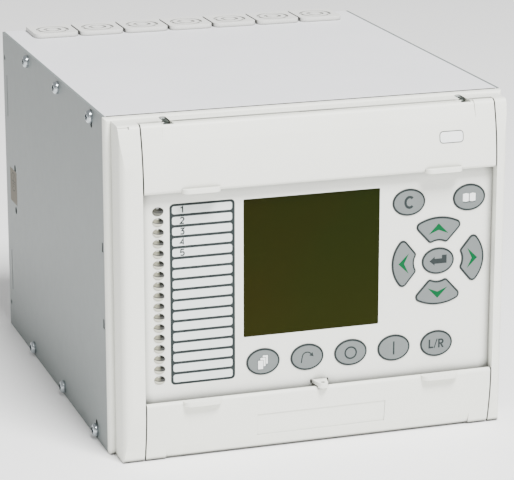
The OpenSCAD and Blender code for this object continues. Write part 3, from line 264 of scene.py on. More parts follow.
# %% Metal
def metal(name, low, high, roughness):
    return surface(name, low, high, roughness, cloud_mm=1.5,
                   bumps={"size_mm": 0.2, "detail": 2, "depth_mm": 0.01, "strength": 0.4},
                   gloss={"size_mm": 0.8, "least": roughness - 0.08, "most": roughness + 0.1},
                   Metallic=1.0)


# Bright zinc plate: bluish, with sharp highlights.
ZINC = metal("bright_zinc_plate", "9AA2A6", "C0C7CB", 0.2)
# Tin plate: whiter and softer than zinc.
TIN = metal("tinned_steel", "A8ABAA", "C6C8C6", 0.34)
# A dark, dull line on the top panel's cut edge: painted shade of the seam above the bezel's rim.
SEAM_SHADE = metal("painted_seam_shade", "3A3936", "4A4945", 0.5)
print("metals:", ZINC.name, TIN.name, SEAM_SHADE.name)

# %% [markdown]
# ## Display
#
# A liquid crystal display that is off is a dark olive pane. It isn't even: it turns greener to the
# right and lighter to the bottom. Two gradients across the window's own box and a slow cloud give
# that, and the window is almost without shine, so the pane stays dark.

# %% Display
def olive_display(cloud_mm):
    material, tree, shader = new_material("olive_display", "1B1B02", 0.2, Specular_IOR_Level=0.03)
    left_below, right_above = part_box("display_window")
    place = add(tree, "ShaderNodeTexCoord").outputs["Object"]
    cloud = add(tree, "ShaderNodeTexNoise", Vector=place, Scale=1 / (cloud_mm * MM), Detail=1)
    parts = add(tree, "ShaderNodeSeparateXYZ", Vector=place)
    across = add(tree, "ShaderNodeMapRange", Value=parts.outputs["X"],
                 From_Min=left_below[0], From_Max=right_above[0])
    green = add(tree, "ShaderNodeMath", {"operation": "MULTIPLY_ADD"},
                _0=across.outputs["Result"], _1=0.5, _2=cloud.outputs["Fac"]).outputs["Value"]
    up = add(tree, "ShaderNodeMapRange", Value=parts.outputs["Z"],
             From_Min=left_below[2], From_Max=right_above[2])
    above = add(tree, "ShaderNodeMix", MIX_COLOURS, _0=green, _6=linear("1D1903"), _7=linear("171D04"))
    below = add(tree, "ShaderNodeMix", MIX_COLOURS, _0=green, _6=linear("222006"), _7=linear("1E2106"))
    whole = add(tree, "ShaderNodeMix", MIX_COLOURS,
                _0=up.outputs["Result"], _6=below.outputs[2], _7=above.outputs[2])
    tree.links.new(whole.outputs[2], shader.inputs["Base Color"])
    return material


DISPLAY = olive_display(cloud_mm=35.7)
print("display:", DISPLAY.name)

# %% [markdown]
# ## Lenses
#
# An indicator is a clear acrylic dome over a dark pocket. True glass would show the pocket, but it
# needs many samples to come out clean. A dome has a fixed look from the front, so its reflections are
# painted into its colour: a pale painted reflection where it leans to the upper left, the dark pocket
# where it leans to the right, a dark band across its waist and a bright painted highlight along its
# lower rim. The shader reads which way the surface leans and mixes those shades.

# %% Lenses
# Painted reflection and highlight: the colour follows which way the dome leans, not the lamps.
def lens_material(name, pale, bright):
    material, tree, shader = new_material(name, pale, 0.12)
    parts = add(tree, "ShaderNodeSeparateXYZ", Vector=add(tree, "ShaderNodeTexCoord").outputs["Normal"])
    rightward = add(tree, "ShaderNodeMapRange", Value=parts.outputs["X"], From_Min=-0.16, From_Max=0.08)
    upper = add(tree, "ShaderNodeMix", MIX_COLOURS,
                _0=rightward.outputs["Result"], _6=linear(pale), _7=linear("161713"))
    slope = add(tree, "ShaderNodeMath", {"operation": "MULTIPLY_ADD"},
                _0=parts.outputs["X"], _1=0.3, _2=parts.outputs["Z"]).outputs["Value"]
    belly = add(tree, "ShaderNodeMapRange", Value=slope, From_Min=0.0, From_Max=-0.05)
    waist = add(tree, "ShaderNodeMix", MIX_COLOURS,
                _0=belly.outputs["Result"], _6=upper.outputs[2], _7=linear("1C1C17"))
    rim = add(tree, "ShaderNodeMapRange", Value=slope, From_Min=-0.1, From_Max=-0.17)
    whole = add(tree, "ShaderNodeMix", MIX_COLOURS,
                _0=rim.outputs["Result"], _6=waist.outputs[2], _7=linear(bright))
    tree.links.new(whole.outputs[2], shader.inputs["Base Color"])
    return material


# Clear acrylic over a dark pocket, and a darker copy for the first indicator: painted shade from the upper
# flap.
LENS = lens_material("clear_lens", "7E7D6C", "C0BFAF")
SHADED_LENS = lens_material("lens_in_painted_shade", "3A3A33", "5C5C52")
print("lenses:", LENS.name, SHADED_LENS.name)

# %% [markdown]
# ## Finish of each part
#
# Every CAD part gets one finish. Each could be set by hand in the editor, but a table shows at a
# glance which parts are made alike, and it works again after CAD has changed. What isn't in the
# table is a key, which takes the key film, or a circuit board.

# %% Finish of each part
FINISHES = {
    SIDE_PAINT: ("left_side_panel", "right_side_panel", "bottom_panel", "rear_plate"),
    TOP_PAINT: ("top_panel",),
    BEZEL: ("front_bezel", "upper_flap", "lower_flap", "sealing_tongue"),
    PLUG: ("cable_plugs",),
    FILM: ("front_overlay",),
    DARK_INK: ("label_strip",),
    LENS: ("led_light_pipe",),
    DISPLAY: ("display_window",),
    ZINC: ("side_screws", "top_screws", "rear_plate_screws", "board_screws"),
    TIN: ("service_port", "signal_screws", "heavy_screws"),
    DARK: ("display_module", "key_switches", "board_connector", "upper_card_guides", "lower_card_guides",
           "relay_terminals", "input_terminals", "power_terminals", "transformer_terminals"),
}
FINISH_OF = {node: finish for finish, nodes in FINISHES.items() for node in nodes}
for node, part in frame["nodes"].items():
    plain = KEY_FILM if node.startswith("key_") else BOARD
    part.data.materials.clear()
    part.data.materials.append(FINISH_OF.get(node, plain))
print("parts with a finish:", len(frame["nodes"]))

# %% [markdown]
# ## Soft edges
#
# Moulded and folded edges are never sharp, and the thin highlight along them tells the eye what an
# object is made of. CAD could round every edge, but that would load the collision model with faces.
# So a copy of the solid is made here. Its loose triangles are merged, flat ones are joined, and a
# Bevel modifier rounds the edges by a fraction of a millimetre. The copy then stands in for the solid.

# %% Helpers for finished pieces
def keep_result(piece):
    graph = bpy.context.evaluated_depsgraph_get()
    mesh = bpy.data.meshes.new_from_object(piece.evaluated_get(graph))
    piece.modifiers.clear()
    piece.data = mesh
    return mesh


def new_piece(name, work, finish=None):
    mesh = bpy.data.meshes.new(name)
    work.to_mesh(mesh)
    work.free()
    if finish:
        mesh.materials.append(finish)
    piece = bpy.data.objects.new(name, mesh)
    bpy.context.collection.objects.link(piece)
    return piece


def body_of(node):
    return next(b for b, members in frame["record"]["behaviour"]["bodies"].items() if node in members)


def slot_of(node):
    return next(s["material_slot"] for s in frame["record"]["subparts"] if s["node"] == node)


print("upper_flap rides on", body_of("upper_flap"), "and takes", slot_of("upper_flap"))

# %% Soft edges
SAME_PLACE = 1e-6
FLAT_ANGLE = math.radians(0.3)
EDGE_ANGLE = math.radians(40)
SHARP_ANGLE = math.radians(32)
EDGE_MM = {"upper_flap": 0.3, "lower_flap": 0.3, "top_panel": 0.25, "left_side_panel": 0.25,
           "right_side_panel": 0.25, "cable_plugs": 0.35, "sealing_tongue": 0.3, "front_bezel": 0.3}


def soften(node, width_mm):
    solid = frame["nodes"][node].data
    work = bmesh.new()
    work.from_mesh(solid)
    bmesh.ops.remove_doubles(work, verts=work.verts, dist=SAME_PLACE)
    bmesh.ops.dissolve_limit(work, angle_limit=FLAT_ANGLE, verts=work.verts, edges=work.edges)
    piece = new_piece(node + "_soft", work, solid.materials[0])
    bevel = piece.modifiers.new("edge", "BEVEL")
    bevel.width = width_mm * MM
    bevel.segments = 2
    bevel.limit_method = "ANGLE"
    bevel.angle_limit = EDGE_ANGLE
    bevel.harden_normals = True
    piece.data.shade_smooth()
    piece.data.set_sharp_from_angle(angle=SHARP_ANGLE)
    keep_result(piece)
    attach(piece, body_of(node))
    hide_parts(node)
    return piece


for node, width_mm in EDGE_MM.items():
    soft = soften(node, width_mm)
    print(soft.name, len(soft.data.polygons), "faces")

# %% [markdown]
# ## Flat pieces
#
# Prints, labels and plates are thin. Each is a solid with a real thickness, because a single sheet
# has no edge to catch light and exports badly. A shape is a list of points and faces in x and z. The
# helper pushes it out along y, so that it stands proud of the face it lies on by a few hundredths of
# a millimetre.

# %% Helpers for flat pieces
def flat_piece(name, shapes, finish, face_y, proud_mm, thick_mm):
    work = bmesh.new()
    for points, faces in shapes:
        made = [work.verts.new((x * MM, face_y - proud_mm * MM, z * MM)) for x, z in points]
        for face in faces:
            work.faces.new([made[i] for i in face])
    pushed = bmesh.ops.extrude_face_region(work, geom=work.faces[:])
    for item in pushed["geom"]:
        if isinstance(item, bmesh.types.BMVert):
            item.co.y += thick_mm * MM
    bmesh.ops.recalc_face_normals(work, faces=work.faces[:])
    return new_piece(name, work, finish)


def fit(piece, body):
    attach(piece, body)


def band(outer, inner, closed=True):
    n = len(outer)
    count = n if closed else n - 1
    return list(outer) + list(inner), [[i, (i + 1) % n, n + (i + 1) % n, n + i] for i in range(count)]


print("a band between two loops of 8 points has", len(band(range(8), range(8))[1]), "faces")

# %% [markdown]
# ## Edges of the keys
#
# Each key is an oval or a petal under the film, with a dark printed edge. The ring could be drawn
# from the sizes of the key, but then it would miss the key if CAD changed. So its outline is read
# from the CAD key: the edges around its flat front face are chained into a loop, and a second loop
# is set inside the first.

# %% Outline of a key
KEYS = [n for n in frame["nodes"] if n.startswith("key_") and n != "key_switches"]
KEY_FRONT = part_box(KEYS[0])[0][1]


def key_outline(key):
    work = bmesh.new()
    work.from_mesh(frame["nodes"][key].data)
    bmesh.ops.remove_doubles(work, verts=work.verts, dist=SAME_PLACE)
    front = [f for f in work.faces if all(abs(v.co.y - KEY_FRONT) < SAME_PLACE for v in f.verts)]
    rim = [e for f in front for e in f.edges if sum(g in front for g in e.link_faces) == 1]
    chain = list(rim[0].verts)
    waiting = set(rim[1:])
    while len(waiting) > 1:
        following = next(e for e in waiting if chain[-1] in e.verts)
        waiting.discard(following)
        chain.append(following.other_vert(chain[-1]))
    points = [(v.co.x / MM, v.co.z / MM) for v in chain]
    work.free()
    area = sum(a[0] * b[1] - b[0] * a[1] for a, b in zip(points, points[1:] + points[:1]))
    return points if area > 0 else points[::-1]


print("keys:", len(KEYS), "outline of key_up:", len(key_outline("key_up")), "points")

# %% Edges of the keys
KEY_EDGE_W, KEY_EDGE_OVER = 0.72, 0.06
INK_PROUD, INK_THICK = 0.03, 0.06


def inset(points, width):
    moved = []
    for i, point in enumerate(points):
        here = Vector(point)
        before = (here - Vector(points[i - 1])).normalized()
        after = (Vector(points[(i + 1) % len(points)]) - here).normalized()
        run = (before + after).normalized()
        reach = width / max(0.5, run.dot(before))
        moved.append((here.x - run.y * reach, here.y + run.x * reach))
    return moved


for key in KEYS:
    outline = key_outline(key)
    ring = band(inset(outline, -KEY_EDGE_OVER), inset(outline, KEY_EDGE_W))
    edge = flat_piece(key + "_edge", [ring], DARK_INK, KEY_FRONT, proud_mm=INK_PROUD, thick_mm=0.35)
    fit(edge, key)
print("key edges:", len(KEYS), "on the face at", round(KEY_FRONT / MM, 2), "mm")

# %% [markdown]
# ## Legends
#
# The keys carry general signs: arrows, a letter, pages, a book and the switching signs. A font could
# set the letters, but a stroke of constant width looks like the printed ones and suits the signs as
# well. Every legend is drawn in millimetres about the middle of its key and rides on it. Where two
# inks lie over each other, the upper one has a higher level. Strokes of one legend never overlap,
# because faces in the same plane would flicker.

# %% Helpers for legends
LEVEL_STEP = 0.02
MITRE_LIMIT = 0.4


def filled(points):
    return points, [list(range(len(points)))]


def stroke(points, width, closed=False):
    spots = [Vector(p) for p in points]
    left, right = [], []
    for i, spot in enumerate(spots):
        before = spot - spots[i - 1] if i or closed else spots[1] - spot
        after = spots[(i + 1) % len(spots)] - spot if i < len(spots) - 1 or closed else before
        run = (before.normalized() + after.normalized()).normalized()
        reach = width / 2 / max(MITRE_LIMIT, run.dot(before.normalized()))
        side = Vector((-run.y, run.x)) * reach
        left.append(tuple(spot + side))
        right.append(tuple(spot - side))
    return band(left, right, closed)


def arc(x, z, rx, rz, start, stop, steps=24):
    angles = [math.radians(start + (stop - start) * i / steps) for i in range(steps + 1)]
    return [(x + rx * math.cos(a), z + rz * math.sin(a)) for a in angles]


def ellipse(x, z, rx, rz, steps=64):
    return arc(x, z, rx, rz, 0, 360, steps)[:-1]


def middle(node):
    low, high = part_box(node)
    return (low[0] + high[0]) / 2 / MM, (low[2] + high[2]) / 2 / MM


def shifted(shape, dx, dz):
    points, faces = shape
    return [(x + dx, z + dz) for x, z in points], faces


def legend(key, part, shapes, finish, level=0, about=None):
    placed = [shifted(shape, *middle(about or key)) for shape in shapes]
    piece = flat_piece(f"{key}_{part}", placed, finish, KEY_FRONT,
                       proud_mm=INK_PROUD + LEVEL_STEP * level, thick_mm=INK_THICK)
    fit(piece, key)


print("middle of key_enter:", [round(v, 2) for v in middle("key_enter")], "mm")

# %% [markdown]
# The arrow keys stand around the enter key and point away from it. One chevron is drawn pointing up,
# at its distance from the middle of the enter key, and turned for the others. The enter arrow has a
# bend, so its face is split in three: a face with a deep notch may fill badly.

# %% Arrows
CHEVRON_HALF = 5.5
# For each arrow key: its turn, and how far tip, ends and notch lie from the middle of the enter key.
CHEVRONS = {"key_up": (0, 20.2, 14.5, 16.7), "key_down": (180, 20.2, 14.5, 16.7),
            "key_left": (90, 22.0, 16.3, 18.9), "key_right": (270, 22.0, 16.3, 18.9)}


def turned(points, degrees):
    c, s = math.cos(math.radians(degrees)), math.sin(math.radians(degrees))
    return [(x * c - z * s, x * s + z * c) for x, z in points]


for key, (angle, tip, ends, notch) in CHEVRONS.items():
    arrow = turned([(0, tip), (-CHEVRON_HALF, ends), (0, notch), (CHEVRON_HALF, ends)], angle)
    legend(key, "chevron", [(arrow, [[0, 1, 2], [0, 2, 3]])], GREEN_INK, about="key_enter")
enter = [(-4.8, 0), (-1.9, -2.4), (-1.9, -1.5), (4.8, -1.5), (4.8, 3.0),
         (2.1, 3.0), (2.1, 1.2), (-1.9, 1.2), (-1.9, 2.4)]
legend("key_enter", "arrow", [(enter, [[0, 1, 2, 7, 8], [2, 3, 6, 7], [3, 4, 5, 6]])], DARK_INK)
print("arrows:", len(CHEVRONS) + 1)

# %% [markdown]
# A letter is a stroke as well, or a few strokes that only touch. The two switching signs are those
# of all switchgear: a ring for off and a bar for on.

# %% Letters and switching signs
SIGN_W, LETTER_W, SLASH_W, CLEAR_W = 0.85, 0.9, 0.55, 1.35

legend("key_clear", "letter", [stroke(arc(0.3, 0, 2.3, 2.8, 45, 315), CLEAR_W)], DARK_INK)
legend("key_open", "sign", [stroke(ellipse(0, -0.2, 3.05, 3.05), SIGN_W, closed=True)], DARK_INK)
legend("key_close", "sign", [stroke([(0, -3.7), (0, 3.5)], SIGN_W)], DARK_INK)
local_letter = stroke([(-3.9, 2.4), (-3.9, -2.05), (-1.7, -2.05)], LETTER_W)
slash = stroke([(-1.25, -2.6), (0.45, 2.5)], SLASH_W)
remote_stem = stroke([(1.5, 2.4), (1.5, -2.5)], LETTER_W)
remote_bowl = stroke([(1.97, 1.95)] + arc(2.6, 0.9, 1.1, 1.05, 90, -90, 10) + [(1.97, -0.15)], LETTER_W)
remote_leg = filled([(2.2, -0.63), (3.2, -0.63), (4.3, -2.5), (3.25, -2.5)])
letters = [slash, local_letter, remote_stem, remote_bowl, remote_leg]
legend("key_remote", "letters", letters, DARK_INK)
print("letters and signs on 4 keys")

# %% [markdown]
# The jump sign is a hook. It ends just short of its arrowhead, so that the two don't overlap.

# %% Jump sign
HOOK_W = 0.62

hook = [(-3.2, -3.0), (-2.95, -1.2), (-2.6, 0.6)] + arc(-0.1, 0.5, 2.45, 2.1, 172, 32, 14)
hook_tip = [(3.5, 0.0), (1.15, 0.75), (2.9, 2.35)]
legend("key_jump", "arrow", [stroke(hook, HOOK_W), filled(hook_tip)], DARK_INK)
print("jump sign:", len(hook), "points along the hook")

# %% [markdown]
# The page key shows three sheets, one over the other. Each sheet and its outline have levels of
# their own, so the nearest one covers the rest. The book is two bent pages with a fold and a cover.

# %% Pages and book
SHEET_W, SHEET_H, SHEET_R, SHEET_LINE = 3.0, 4.9, 0.25, 0.22
BOOK_LINE = 0.3


def rounded(x, z, width, height, r, steps=6):
    corners = ((1, 1, 0), (-1, 1, 90), (-1, -1, 180), (1, -1, 270))
    return [p for sx, sz, a in corners
            for p in arc(x + sx * (width / 2 - r), z + sz * (height / 2 - r), r, r, a, a + 90, steps)]


for i, (x, z) in enumerate(((1.15, 1.05), (-0.1, -0.2), (-1.4, -1.6))):
    sheet = rounded(x, z, SHEET_W, SHEET_H, SHEET_R, 3)
    legend("key_page", f"sheet_{i}", [filled(sheet)], WHITE_INK, level=2 * i)
    legend("key_page", f"line_{i}", [stroke(sheet, SHEET_LINE, closed=True)], DARK_INK, level=2 * i + 1)
left_page = [(-3.5, -1.95), (-1.8, -2.3), (-0.25, -2.0), (-0.25, 1.9), (-1.8, 2.3), (-3.5, 1.95)]
right_page = [(-x, z) for x, z in left_page[::-1]]
legend("key_read", "pages", [filled(left_page), filled(right_page)], WHITE_INK)
fold = stroke([(0, -2.2), (0, 1.9)], BOOK_LINE)
cover = stroke([(-3.4, -2.35), (-1.8, -2.7), (0, -2.4), (1.8, -2.7), (3.4, -2.35)], BOOK_LINE)
legend("key_read", "spine", [fold, cover], DARK_INK, level=1)
print("sheets: 3, pages of the book: 2")

# %% [markdown]
# ## A tree that repeats a piece
#
# The front has seventeen indicators in a column, and a label field beside each. A loop could copy
# them, but Geometry Nodes keep the rule itself: a line of points, and the piece on each point. The
# tree has inputs for the count, the step and the material. It ends in real geometry with a material,
# because the export drops instances. A modifier's input is set by the socket's identifier, and the
# result is kept as a plain mesh before the piece is fitted to its body.

# %% A tree that repeats a piece
def new_tree(name, given, result):
    tree = bpy.data.node_groups.new(name, "GeometryNodeTree")
    for label, kind in given.items():
        tree.interface.new_socket(label, in_out="INPUT", socket_type=kind)
    tree.interface.new_socket(result, in_out="OUTPUT", socket_type="NodeSocketGeometry")
    return tree, tree.nodes.new("NodeGroupInput").outputs, tree.nodes.new("NodeGroupOutput").inputs


def row_tree():
    tree, given, result = new_tree("copies_in_a_row", {
        "Piece": "NodeSocketGeometry", "Count": "NodeSocketInt", "Step": "NodeSocketVector",
        "Material": "NodeSocketMaterial"}, "Row")
    line = add(tree, "GeometryNodeMeshLine", Count=given["Count"], Offset=given["Step"])
    copies = add(tree, "GeometryNodeInstanceOnPoints", Points=line.outputs["Mesh"], Instance=given["Piece"])
    solid = add(tree, "GeometryNodeRealizeInstances", Geometry=copies.outputs["Instances"])
    dressed = add(tree, "GeometryNodeSetMaterial",
                  Geometry=solid.outputs["Geometry"], Material=given["Material"])
    tree.links.new(dressed.outputs["Geometry"], result["Row"])
    return tree


def run_tree(piece, tree, **values):
    modifier = piece.modifiers.new(tree.name, "NODES")
    modifier.node_group = tree
    for item in tree.interface.items_tree:
        if item.in_out == "INPUT" and item.name in values:
            modifier[item.identifier] = values[item.name]
    return keep_result(piece)


ROW = row_tree()
print("tree:", ROW.name, "with", len(ROW.nodes), "nodes")

# %% [markdown]
# ## Label strip
#
# The strip is dark with a sunk field for each indicator, and a paper label lies in every field. One
# label is drawn in the top row, a little smaller than its field, and the tree repeats it downwards.

# %% Paper fields
LEDS = 17
FIELD_SIDES, FIELD_GAP, FIELD_R = 2.7, 1.45, 1.1

strip_low, strip_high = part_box("label_strip")
lens_low, lens_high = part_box("led_light_pipe")
ROW_PITCH = (lens_high[2] - lens_low[2]) / LEDS
TOP_ROW = (lens_high[2] - ROW_PITCH / 2) / MM
field_w = (strip_high[0] - strip_low[0]) / MM - FIELD_SIDES
field_h = ROW_PITCH / MM - FIELD_GAP
field = rounded(middle("label_strip")[0], TOP_ROW, field_w, field_h, FIELD_R)
fields = flat_piece("label_fields", [filled(field)], PAPER, strip_low[1], proud_mm=-0.02, thick_mm=0.12)
mesh = run_tree(fields, ROW, Count=LEDS, Step=(0, 0, -ROW_PITCH), Material=PAPER)
fit(fields, "case")
print("label fields:", len(mesh.polygons), "faces, pitch", round(ROW_PITCH / MM, 2), "mm")

# %% [markdown]
# The first five rows carry plain numbers, which say which signal lights the lamp. A font could set
# them, but a number is only a stroke through a few corners, and the legends' helper draws that.

# %% Row numbers
NUMBER_IN, NUMBER_W = 6.5, 0.7
DIGITS = (
    [(-0.7, 0.9), (0.3, 1.5), (0.3, -1.5)],
    [(-0.9, 1.0), (-0.4, 1.5), (0.5, 1.5), (0.9, 1.0), (0.9, 0.4), (-0.9, -1.5), (1.0, -1.5)],
    [(-0.9, 1.5), (0.9, 1.5), (-0.1, 0.3), (0.5, 0.25), (0.9, -0.2), (0.9, -1.0), (0.4, -1.5), (-0.9, -1.4)],
    [(0.5, -1.5), (0.5, 1.5), (-1.0, -0.6), (0.15, -0.6)],
    [(0.9, 1.5), (-0.7, 1.5), (-0.9, 0.1), (0.4, 0.3), (0.9, -0.2), (0.9, -1.0), (0.4, -1.5), (-0.9, -1.4)],
)

number_x = strip_low[0] / MM + NUMBER_IN
numbers = [shifted(stroke(corners, NUMBER_W), number_x, TOP_ROW - i * ROW_PITCH / MM)
           for i, corners in enumerate(DIGITS)]
printed = flat_piece("row_numbers", numbers, DARK_INK, strip_low[1], proud_mm=0, thick_mm=INK_THICK)
fit(printed, "case")
print("row numbers:", len(numbers))

# %% [markdown]
# ## Lens domes
#
# Each indicator ends in a shallow oval dome. A scaled sphere would do, but half of it would be
# hidden faces, so the dome is built from rings that shrink towards its tip. The tree repeats it down
# the column. The first indicator lies in the shade of the upper flap, painted as a darker lens, so it
# is a piece of its own.

# %% Lens domes
DOME_HALF_W, DOME_HALF_H, DOME_RISE, DOME_SINK = 2.95, 2.2, 0.9, 0.05
DOME_RINGS, DOME_SIDES = 8, 32


def dome(name, x, z, seat):
    work = bmesh.new()
    rings = []
    for j in range(DOME_RINGS):
        a = math.radians(90 * j / DOME_RINGS)
        outline = ellipse(x, z, DOME_HALF_W * math.cos(a), DOME_HALF_H * math.cos(a), DOME_SIDES)
        rise = DOME_RISE * MM * math.sin(a)
        rings.append([work.verts.new((px * MM, seat - rise, pz * MM)) for px, pz in outline])
    tip = work.verts.new((x * MM, seat - DOME_RISE * MM, z * MM))
    for i in range(DOME_SIDES):
        j = (i + 1) % DOME_SIDES
        for low, high in zip(rings, rings[1:]):
            work.faces.new((low[i], low[j], high[j], high[i]))
        work.faces.new((rings[-1][i], rings[-1][j], tip))
    work.faces.new(rings[0][::-1])
    bmesh.ops.recalc_face_normals(work, faces=work.faces[:])
    return new_piece(name, work)


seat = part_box("front_overlay")[0][1] + DOME_SINK * MM
# The first dome takes the lens with painted shade from the flap above it.
for name, row, count, finish in (("lens_dome_first", 0, 1, SHADED_LENS), ("lens_domes", 1, LEDS - 1, LENS)):
    domes = dome(name, middle("led_light_pipe")[0], TOP_ROW - row * ROW_PITCH / MM, seat)
    mesh = run_tree(domes, ROW, Count=count, Step=(0, 0, -ROW_PITCH), Material=finish)
    mesh.shade_smooth()
    fit(domes, "case")
    print(name, len(mesh.polygons), "faces")

# %% [markdown]
# ## Plate on the upper flap
#
# A small blank plate with a thin border is stuck on the upper flap, whose face is arched. A flat
# plate would dip into it. So the plate is drawn flat, and a second tree lays it on the arch: from
# every point it sends a ray towards the flap, and moves the point to where the ray lands.

# %% A tree that lays a piece on a surface
FAR_AHEAD = 1.0


def laid_tree():
    tree, given, result = new_tree("laid_on_a_surface", {
        "Piece": "NodeSocketGeometry", "Surface": "NodeSocketObject",
        "Material": "NodeSocketMaterial"}, "Laid")
    ground = add(tree, "GeometryNodeObjectInfo", Object=given["Surface"])
    place = add(tree, "GeometryNodeInputPosition")
    start = add(tree, "ShaderNodeVectorMath", {"operation": "ADD"},
                _0=place.outputs["Position"], _1=(0, -FAR_AHEAD, 0))
    landing = add(tree, "GeometryNodeRaycast", Target_Geometry=ground.outputs["Geometry"],
                  Source_Position=start.outputs["Vector"], Ray_Direction=(0, 1, 0), Ray_Length=FAR_AHEAD)
    depth = add(tree, "ShaderNodeVectorMath", {"operation": "MULTIPLY"},
                _0=landing.outputs["Hit Position"], _1=(0, 1, 0))
    moved = add(tree, "GeometryNodeSetPosition", Geometry=given["Piece"], Offset=depth.outputs["Vector"])
    solid = add(tree, "GeometryNodeRealizeInstances", Geometry=moved.outputs["Geometry"])
    dressed = add(tree, "GeometryNodeSetMaterial",
                  Geometry=solid.outputs["Geometry"], Material=given["Material"])
    tree.links.new(dressed.outputs["Geometry"], result["Laid"])
    return tree


LAID = laid_tree()
print("tree:", LAID.name, "with", len(LAID.nodes), "nodes")

# %% Plate on the upper flap
PLATE_W, PLATE_H, PLATE_R, PLATE_LINE = 12.8, 5.8, 1.7, 0.35
PLATE_FROM_RIGHT, PLATE_FROM_BELOW = 27.5, 17.6
CORNER_STEPS = 5

flap_low, flap_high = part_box("upper_flap")
plate_x = flap_high[0] / MM - PLATE_FROM_RIGHT
plate_z = flap_low[2] / MM + PLATE_FROM_BELOW
bend_x = plate_x + PLATE_W / 2 - PLATE_R
bend_z = PLATE_H / 2 - PLATE_R
right_side = (arc(bend_x, plate_z - bend_z, PLATE_R, PLATE_R, -90, 0, CORNER_STEPS)
              + arc(bend_x, plate_z + bend_z, PLATE_R, PLATE_R, 0, 90, CORNER_STEPS))
left_side = [(2 * plate_x - x, z) for x, z in right_side]
rows = band(left_side, right_side, closed=False)
plate = flat_piece("blank_plate", [rows], WHITE_INK, 0, proud_mm=0.12, thick_mm=0.3)
border = stroke(left_side[::-1] + right_side, PLATE_LINE, closed=True)
plate_line = flat_piece("blank_plate_line", [border], DARK_INK, 0, proud_mm=0.15, thick_mm=0.2)
for piece, finish in ((plate, WHITE_INK), (plate_line, DARK_INK)):
    run_tree(piece, LAID, Surface=frame["nodes"]["upper_flap"], Material=finish)
    fit(piece, "upper_flap")
print("plate face at", round(min(v.co.y for v in plate.data.vertices) / MM, 2), "mm")

# %% [markdown]
# ## Painted shade on the top panel's edge
#
# The seam between the top panel and the bezel's rim shows as a dark line above the rim. It is
# painted shade: a thin dark strip on the sheet's cut edge. The paint's shader could darken it by
# height, but a thin strip on the edge is simpler and stays sharp.

# %% Painted shade on the top panel's edge
CUT_EDGE_H, CUT_EDGE_SIDES, CUT_EDGE_BELOW = 0.6, 0.5, 0.05

top_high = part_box("top_panel")[1]
top_face = top_high[2] / MM
sheet_edge = min(v.co.y for v in frame["nodes"]["top_panel"].data.vertices
                 if v.co.z > top_high[2] - SAME_PLACE)
half_w = top_high[0] / MM - CUT_EDGE_SIDES
cut_edge = [(-half_w, top_face - CUT_EDGE_H), (half_w, top_face - CUT_EDGE_H),
            (half_w, top_face - CUT_EDGE_BELOW), (-half_w, top_face - CUT_EDGE_BELOW)]
strip = flat_piece("top_panel_cut_edge", [filled(cut_edge)], SEAM_SHADE, sheet_edge,
                   proud_mm=0.03, thick_mm=0.1)
fit(strip, "case")
print("cut edge at", round(sheet_edge / MM, 2), "mm")

# %% [markdown]
# ## Earth point
#
# On the left side, near the rear, a patch between two fixing holes is left unpainted, so that an
# earth lead makes contact there. It carries the general earth sign in a ring. Both are drawn as if
# they lay on the front, with x as the way back along the case, and are then turned onto the side.
# That swap of two axes turns the faces inside out, so their normals are flipped.

# %% Earth point
PATCH_W, PATCH_H, PATCH_R = 17, 20, 0.8
PATCH_FROM_REAR, PATCH_Z = 18.9, 89.6
EARTH_UP, EARTH_STEM, EARTH_GAP, EARTH_STEP, EARTH_LINE = 2.9, 3.5, 0.3, 1.5, 0.5
EARTH_HALVES = (3.5, 2.3, 1.1)
RING_R, RING_DOWN, RING_LINE = 5.4, 0.3, 0.4


def side_piece(name, shapes, finish, proud_mm):
    piece = flat_piece(name, shapes, finish, 0, proud_mm=0, thick_mm=0.1)
    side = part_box("left_side_panel")[0][0]
    for vert in piece.data.vertices:
        along, out, up = vert.co
        vert.co = (side - proud_mm * MM + out, FRONT_EDGE + along, up)
    piece.data.flip_normals()
    fit(piece, "case")


patch_x = (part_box("left_side_panel")[1][1] - FRONT_EDGE) / MM - PATCH_FROM_REAR
patch = rounded(patch_x, PATCH_Z, PATCH_W, PATCH_H, PATCH_R, 4)
side_piece("earth_patch", [filled(patch)], BARE, proud_mm=0.04)
sign_z = PATCH_Z + EARTH_UP
sign = [stroke([(patch_x, sign_z + EARTH_GAP), (patch_x, sign_z + EARTH_STEM)], EARTH_LINE)]
for i, half in enumerate(EARTH_HALVES):
    z = sign_z - i * EARTH_STEP
    sign.append(stroke([(patch_x - half, z), (patch_x + half, z)], EARTH_LINE))
sign.append(stroke(ellipse(patch_x, sign_z - RING_DOWN, RING_R, RING_R, 40), RING_LINE, closed=True))
side_piece("earth_sign", sign, DARK_INK, proud_mm=0.06)
print("earth point", round(patch_x, 1), "mm behind the front edge")

# %% [markdown]
# ## Service port
#
# Behind the lower flap sits a port with a metal shell. Its dark insert is wider at the top than at
# the bottom, so that a plug fits one way only, and holds five contacts above four. CAD made the
# shell. The insert and the contacts are too small for collision, so they are made here. One contact
# is a short tube, and the row tree repeats it.

# %% Service port
CONTACT_ROWS = ((5, 1.4), (4, -1.4))
CONTACT_PITCH, CONTACT_R, CONTACT_BORE = 2.77, 0.75, 0.4
INSERT_TOP_HALF, INSERT_LOW_HALF, INSERT_HALF_H = 8.0, 6.8, 3.7

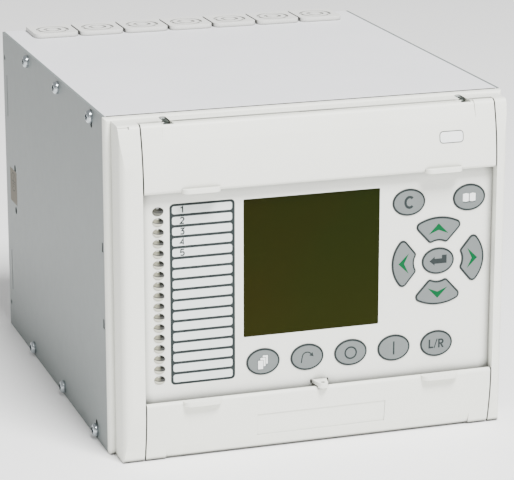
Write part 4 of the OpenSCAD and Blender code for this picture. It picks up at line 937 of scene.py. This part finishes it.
port_x, port_z = middle("service_port")
port_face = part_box("service_port")[0][1]
insert = [(-INSERT_TOP_HALF, INSERT_HALF_H), (-INSERT_LOW_HALF, -INSERT_HALF_H),
          (INSERT_LOW_HALF, -INSERT_HALF_H), (INSERT_TOP_HALF, INSERT_HALF_H)]
insert_shape = shifted(filled(insert), port_x, port_z)
insert_piece = flat_piece("port_insert", [insert_shape], DARK, port_face, proud_mm=0.05, thick_mm=0.3)
fit(insert_piece, "case")
for count, rise in CONTACT_ROWS:
    x, z = port_x - CONTACT_PITCH * (count - 1) / 2, port_z + rise
    tube = band(ellipse(x, z, CONTACT_R, CONTACT_R, 20), ellipse(x, z, CONTACT_BORE, CONTACT_BORE, 20))
    contacts = flat_piece(f"port_contacts_{count}", [tube], TIN, port_face, proud_mm=0.15, thick_mm=0.2)
    mesh = run_tree(contacts, ROW, Count=count, Step=(CONTACT_PITCH * MM, 0, 0), Material=TIN)
    fit(contacts, "case")
    print("port contacts:", count, len(mesh.polygons), "faces")

# %% [markdown]
# ## Floor and light
#
# The photograph was taken in a white studio. A pale floor and a white room stand in for it. A large
# soft box above the front does most of the work, and a weak one at the left opens the shadow on the
# side. Small hard lamps would be brighter, but they would print sharp shadows on the front.

# %% Floor
FLOOR_HALF = 6


def pale_floor():
    mesh = bpy.data.meshes.new("floor")
    corners = [(-FLOOR_HALF, -FLOOR_HALF, 0), (FLOOR_HALF, -FLOOR_HALF, 0),
               (FLOOR_HALF, FLOOR_HALF, 0), (-FLOOR_HALF, FLOOR_HALF, 0)]
    mesh.from_pydata(corners, [], [(0, 1, 2, 3)])
    # Matt card: nearly white, with shades that drift over almost half a metre.
    mesh.materials.append(surface("pale_floor", "FAFAF9", "FEFEFD", 0.7, cloud_mm=400))
    floor = bpy.data.objects.new("floor", mesh)
    bpy.context.collection.objects.link(floor)


pale_floor()
print("floor:", 2 * FLOOR_HALF, "m wide")

# %% Light
AIM = Vector((0, 0, 0.09))
ROOM_LIGHT = 0.6


def soft_box(name, place, size, power):
    light = bpy.data.lights.new(name, "AREA")
    light.shape = "SQUARE"
    light.size = size
    light.energy = power
    lamp = bpy.data.objects.new(name, light)
    lamp.location = place
    lamp.rotation_euler = (AIM - Vector(place)).to_track_quat("-Z", "Y").to_euler()
    bpy.context.collection.objects.link(lamp)


soft_box("top_box", place=(0.3, -1.4, 2.3), size=0.9, power=200)
soft_box("left_box", place=(-1.2, -2.2, 0.7), size=0.8, power=4)
world = bpy.data.worlds.new("studio")
world.use_nodes = True
room = world.node_tree.nodes["Background"]
room.inputs["Color"].default_value = linear("FFFFFF")
room.inputs["Strength"].default_value = ROOM_LIGHT
bpy.context.scene.world = world
print("lights:", len(bpy.data.lights))
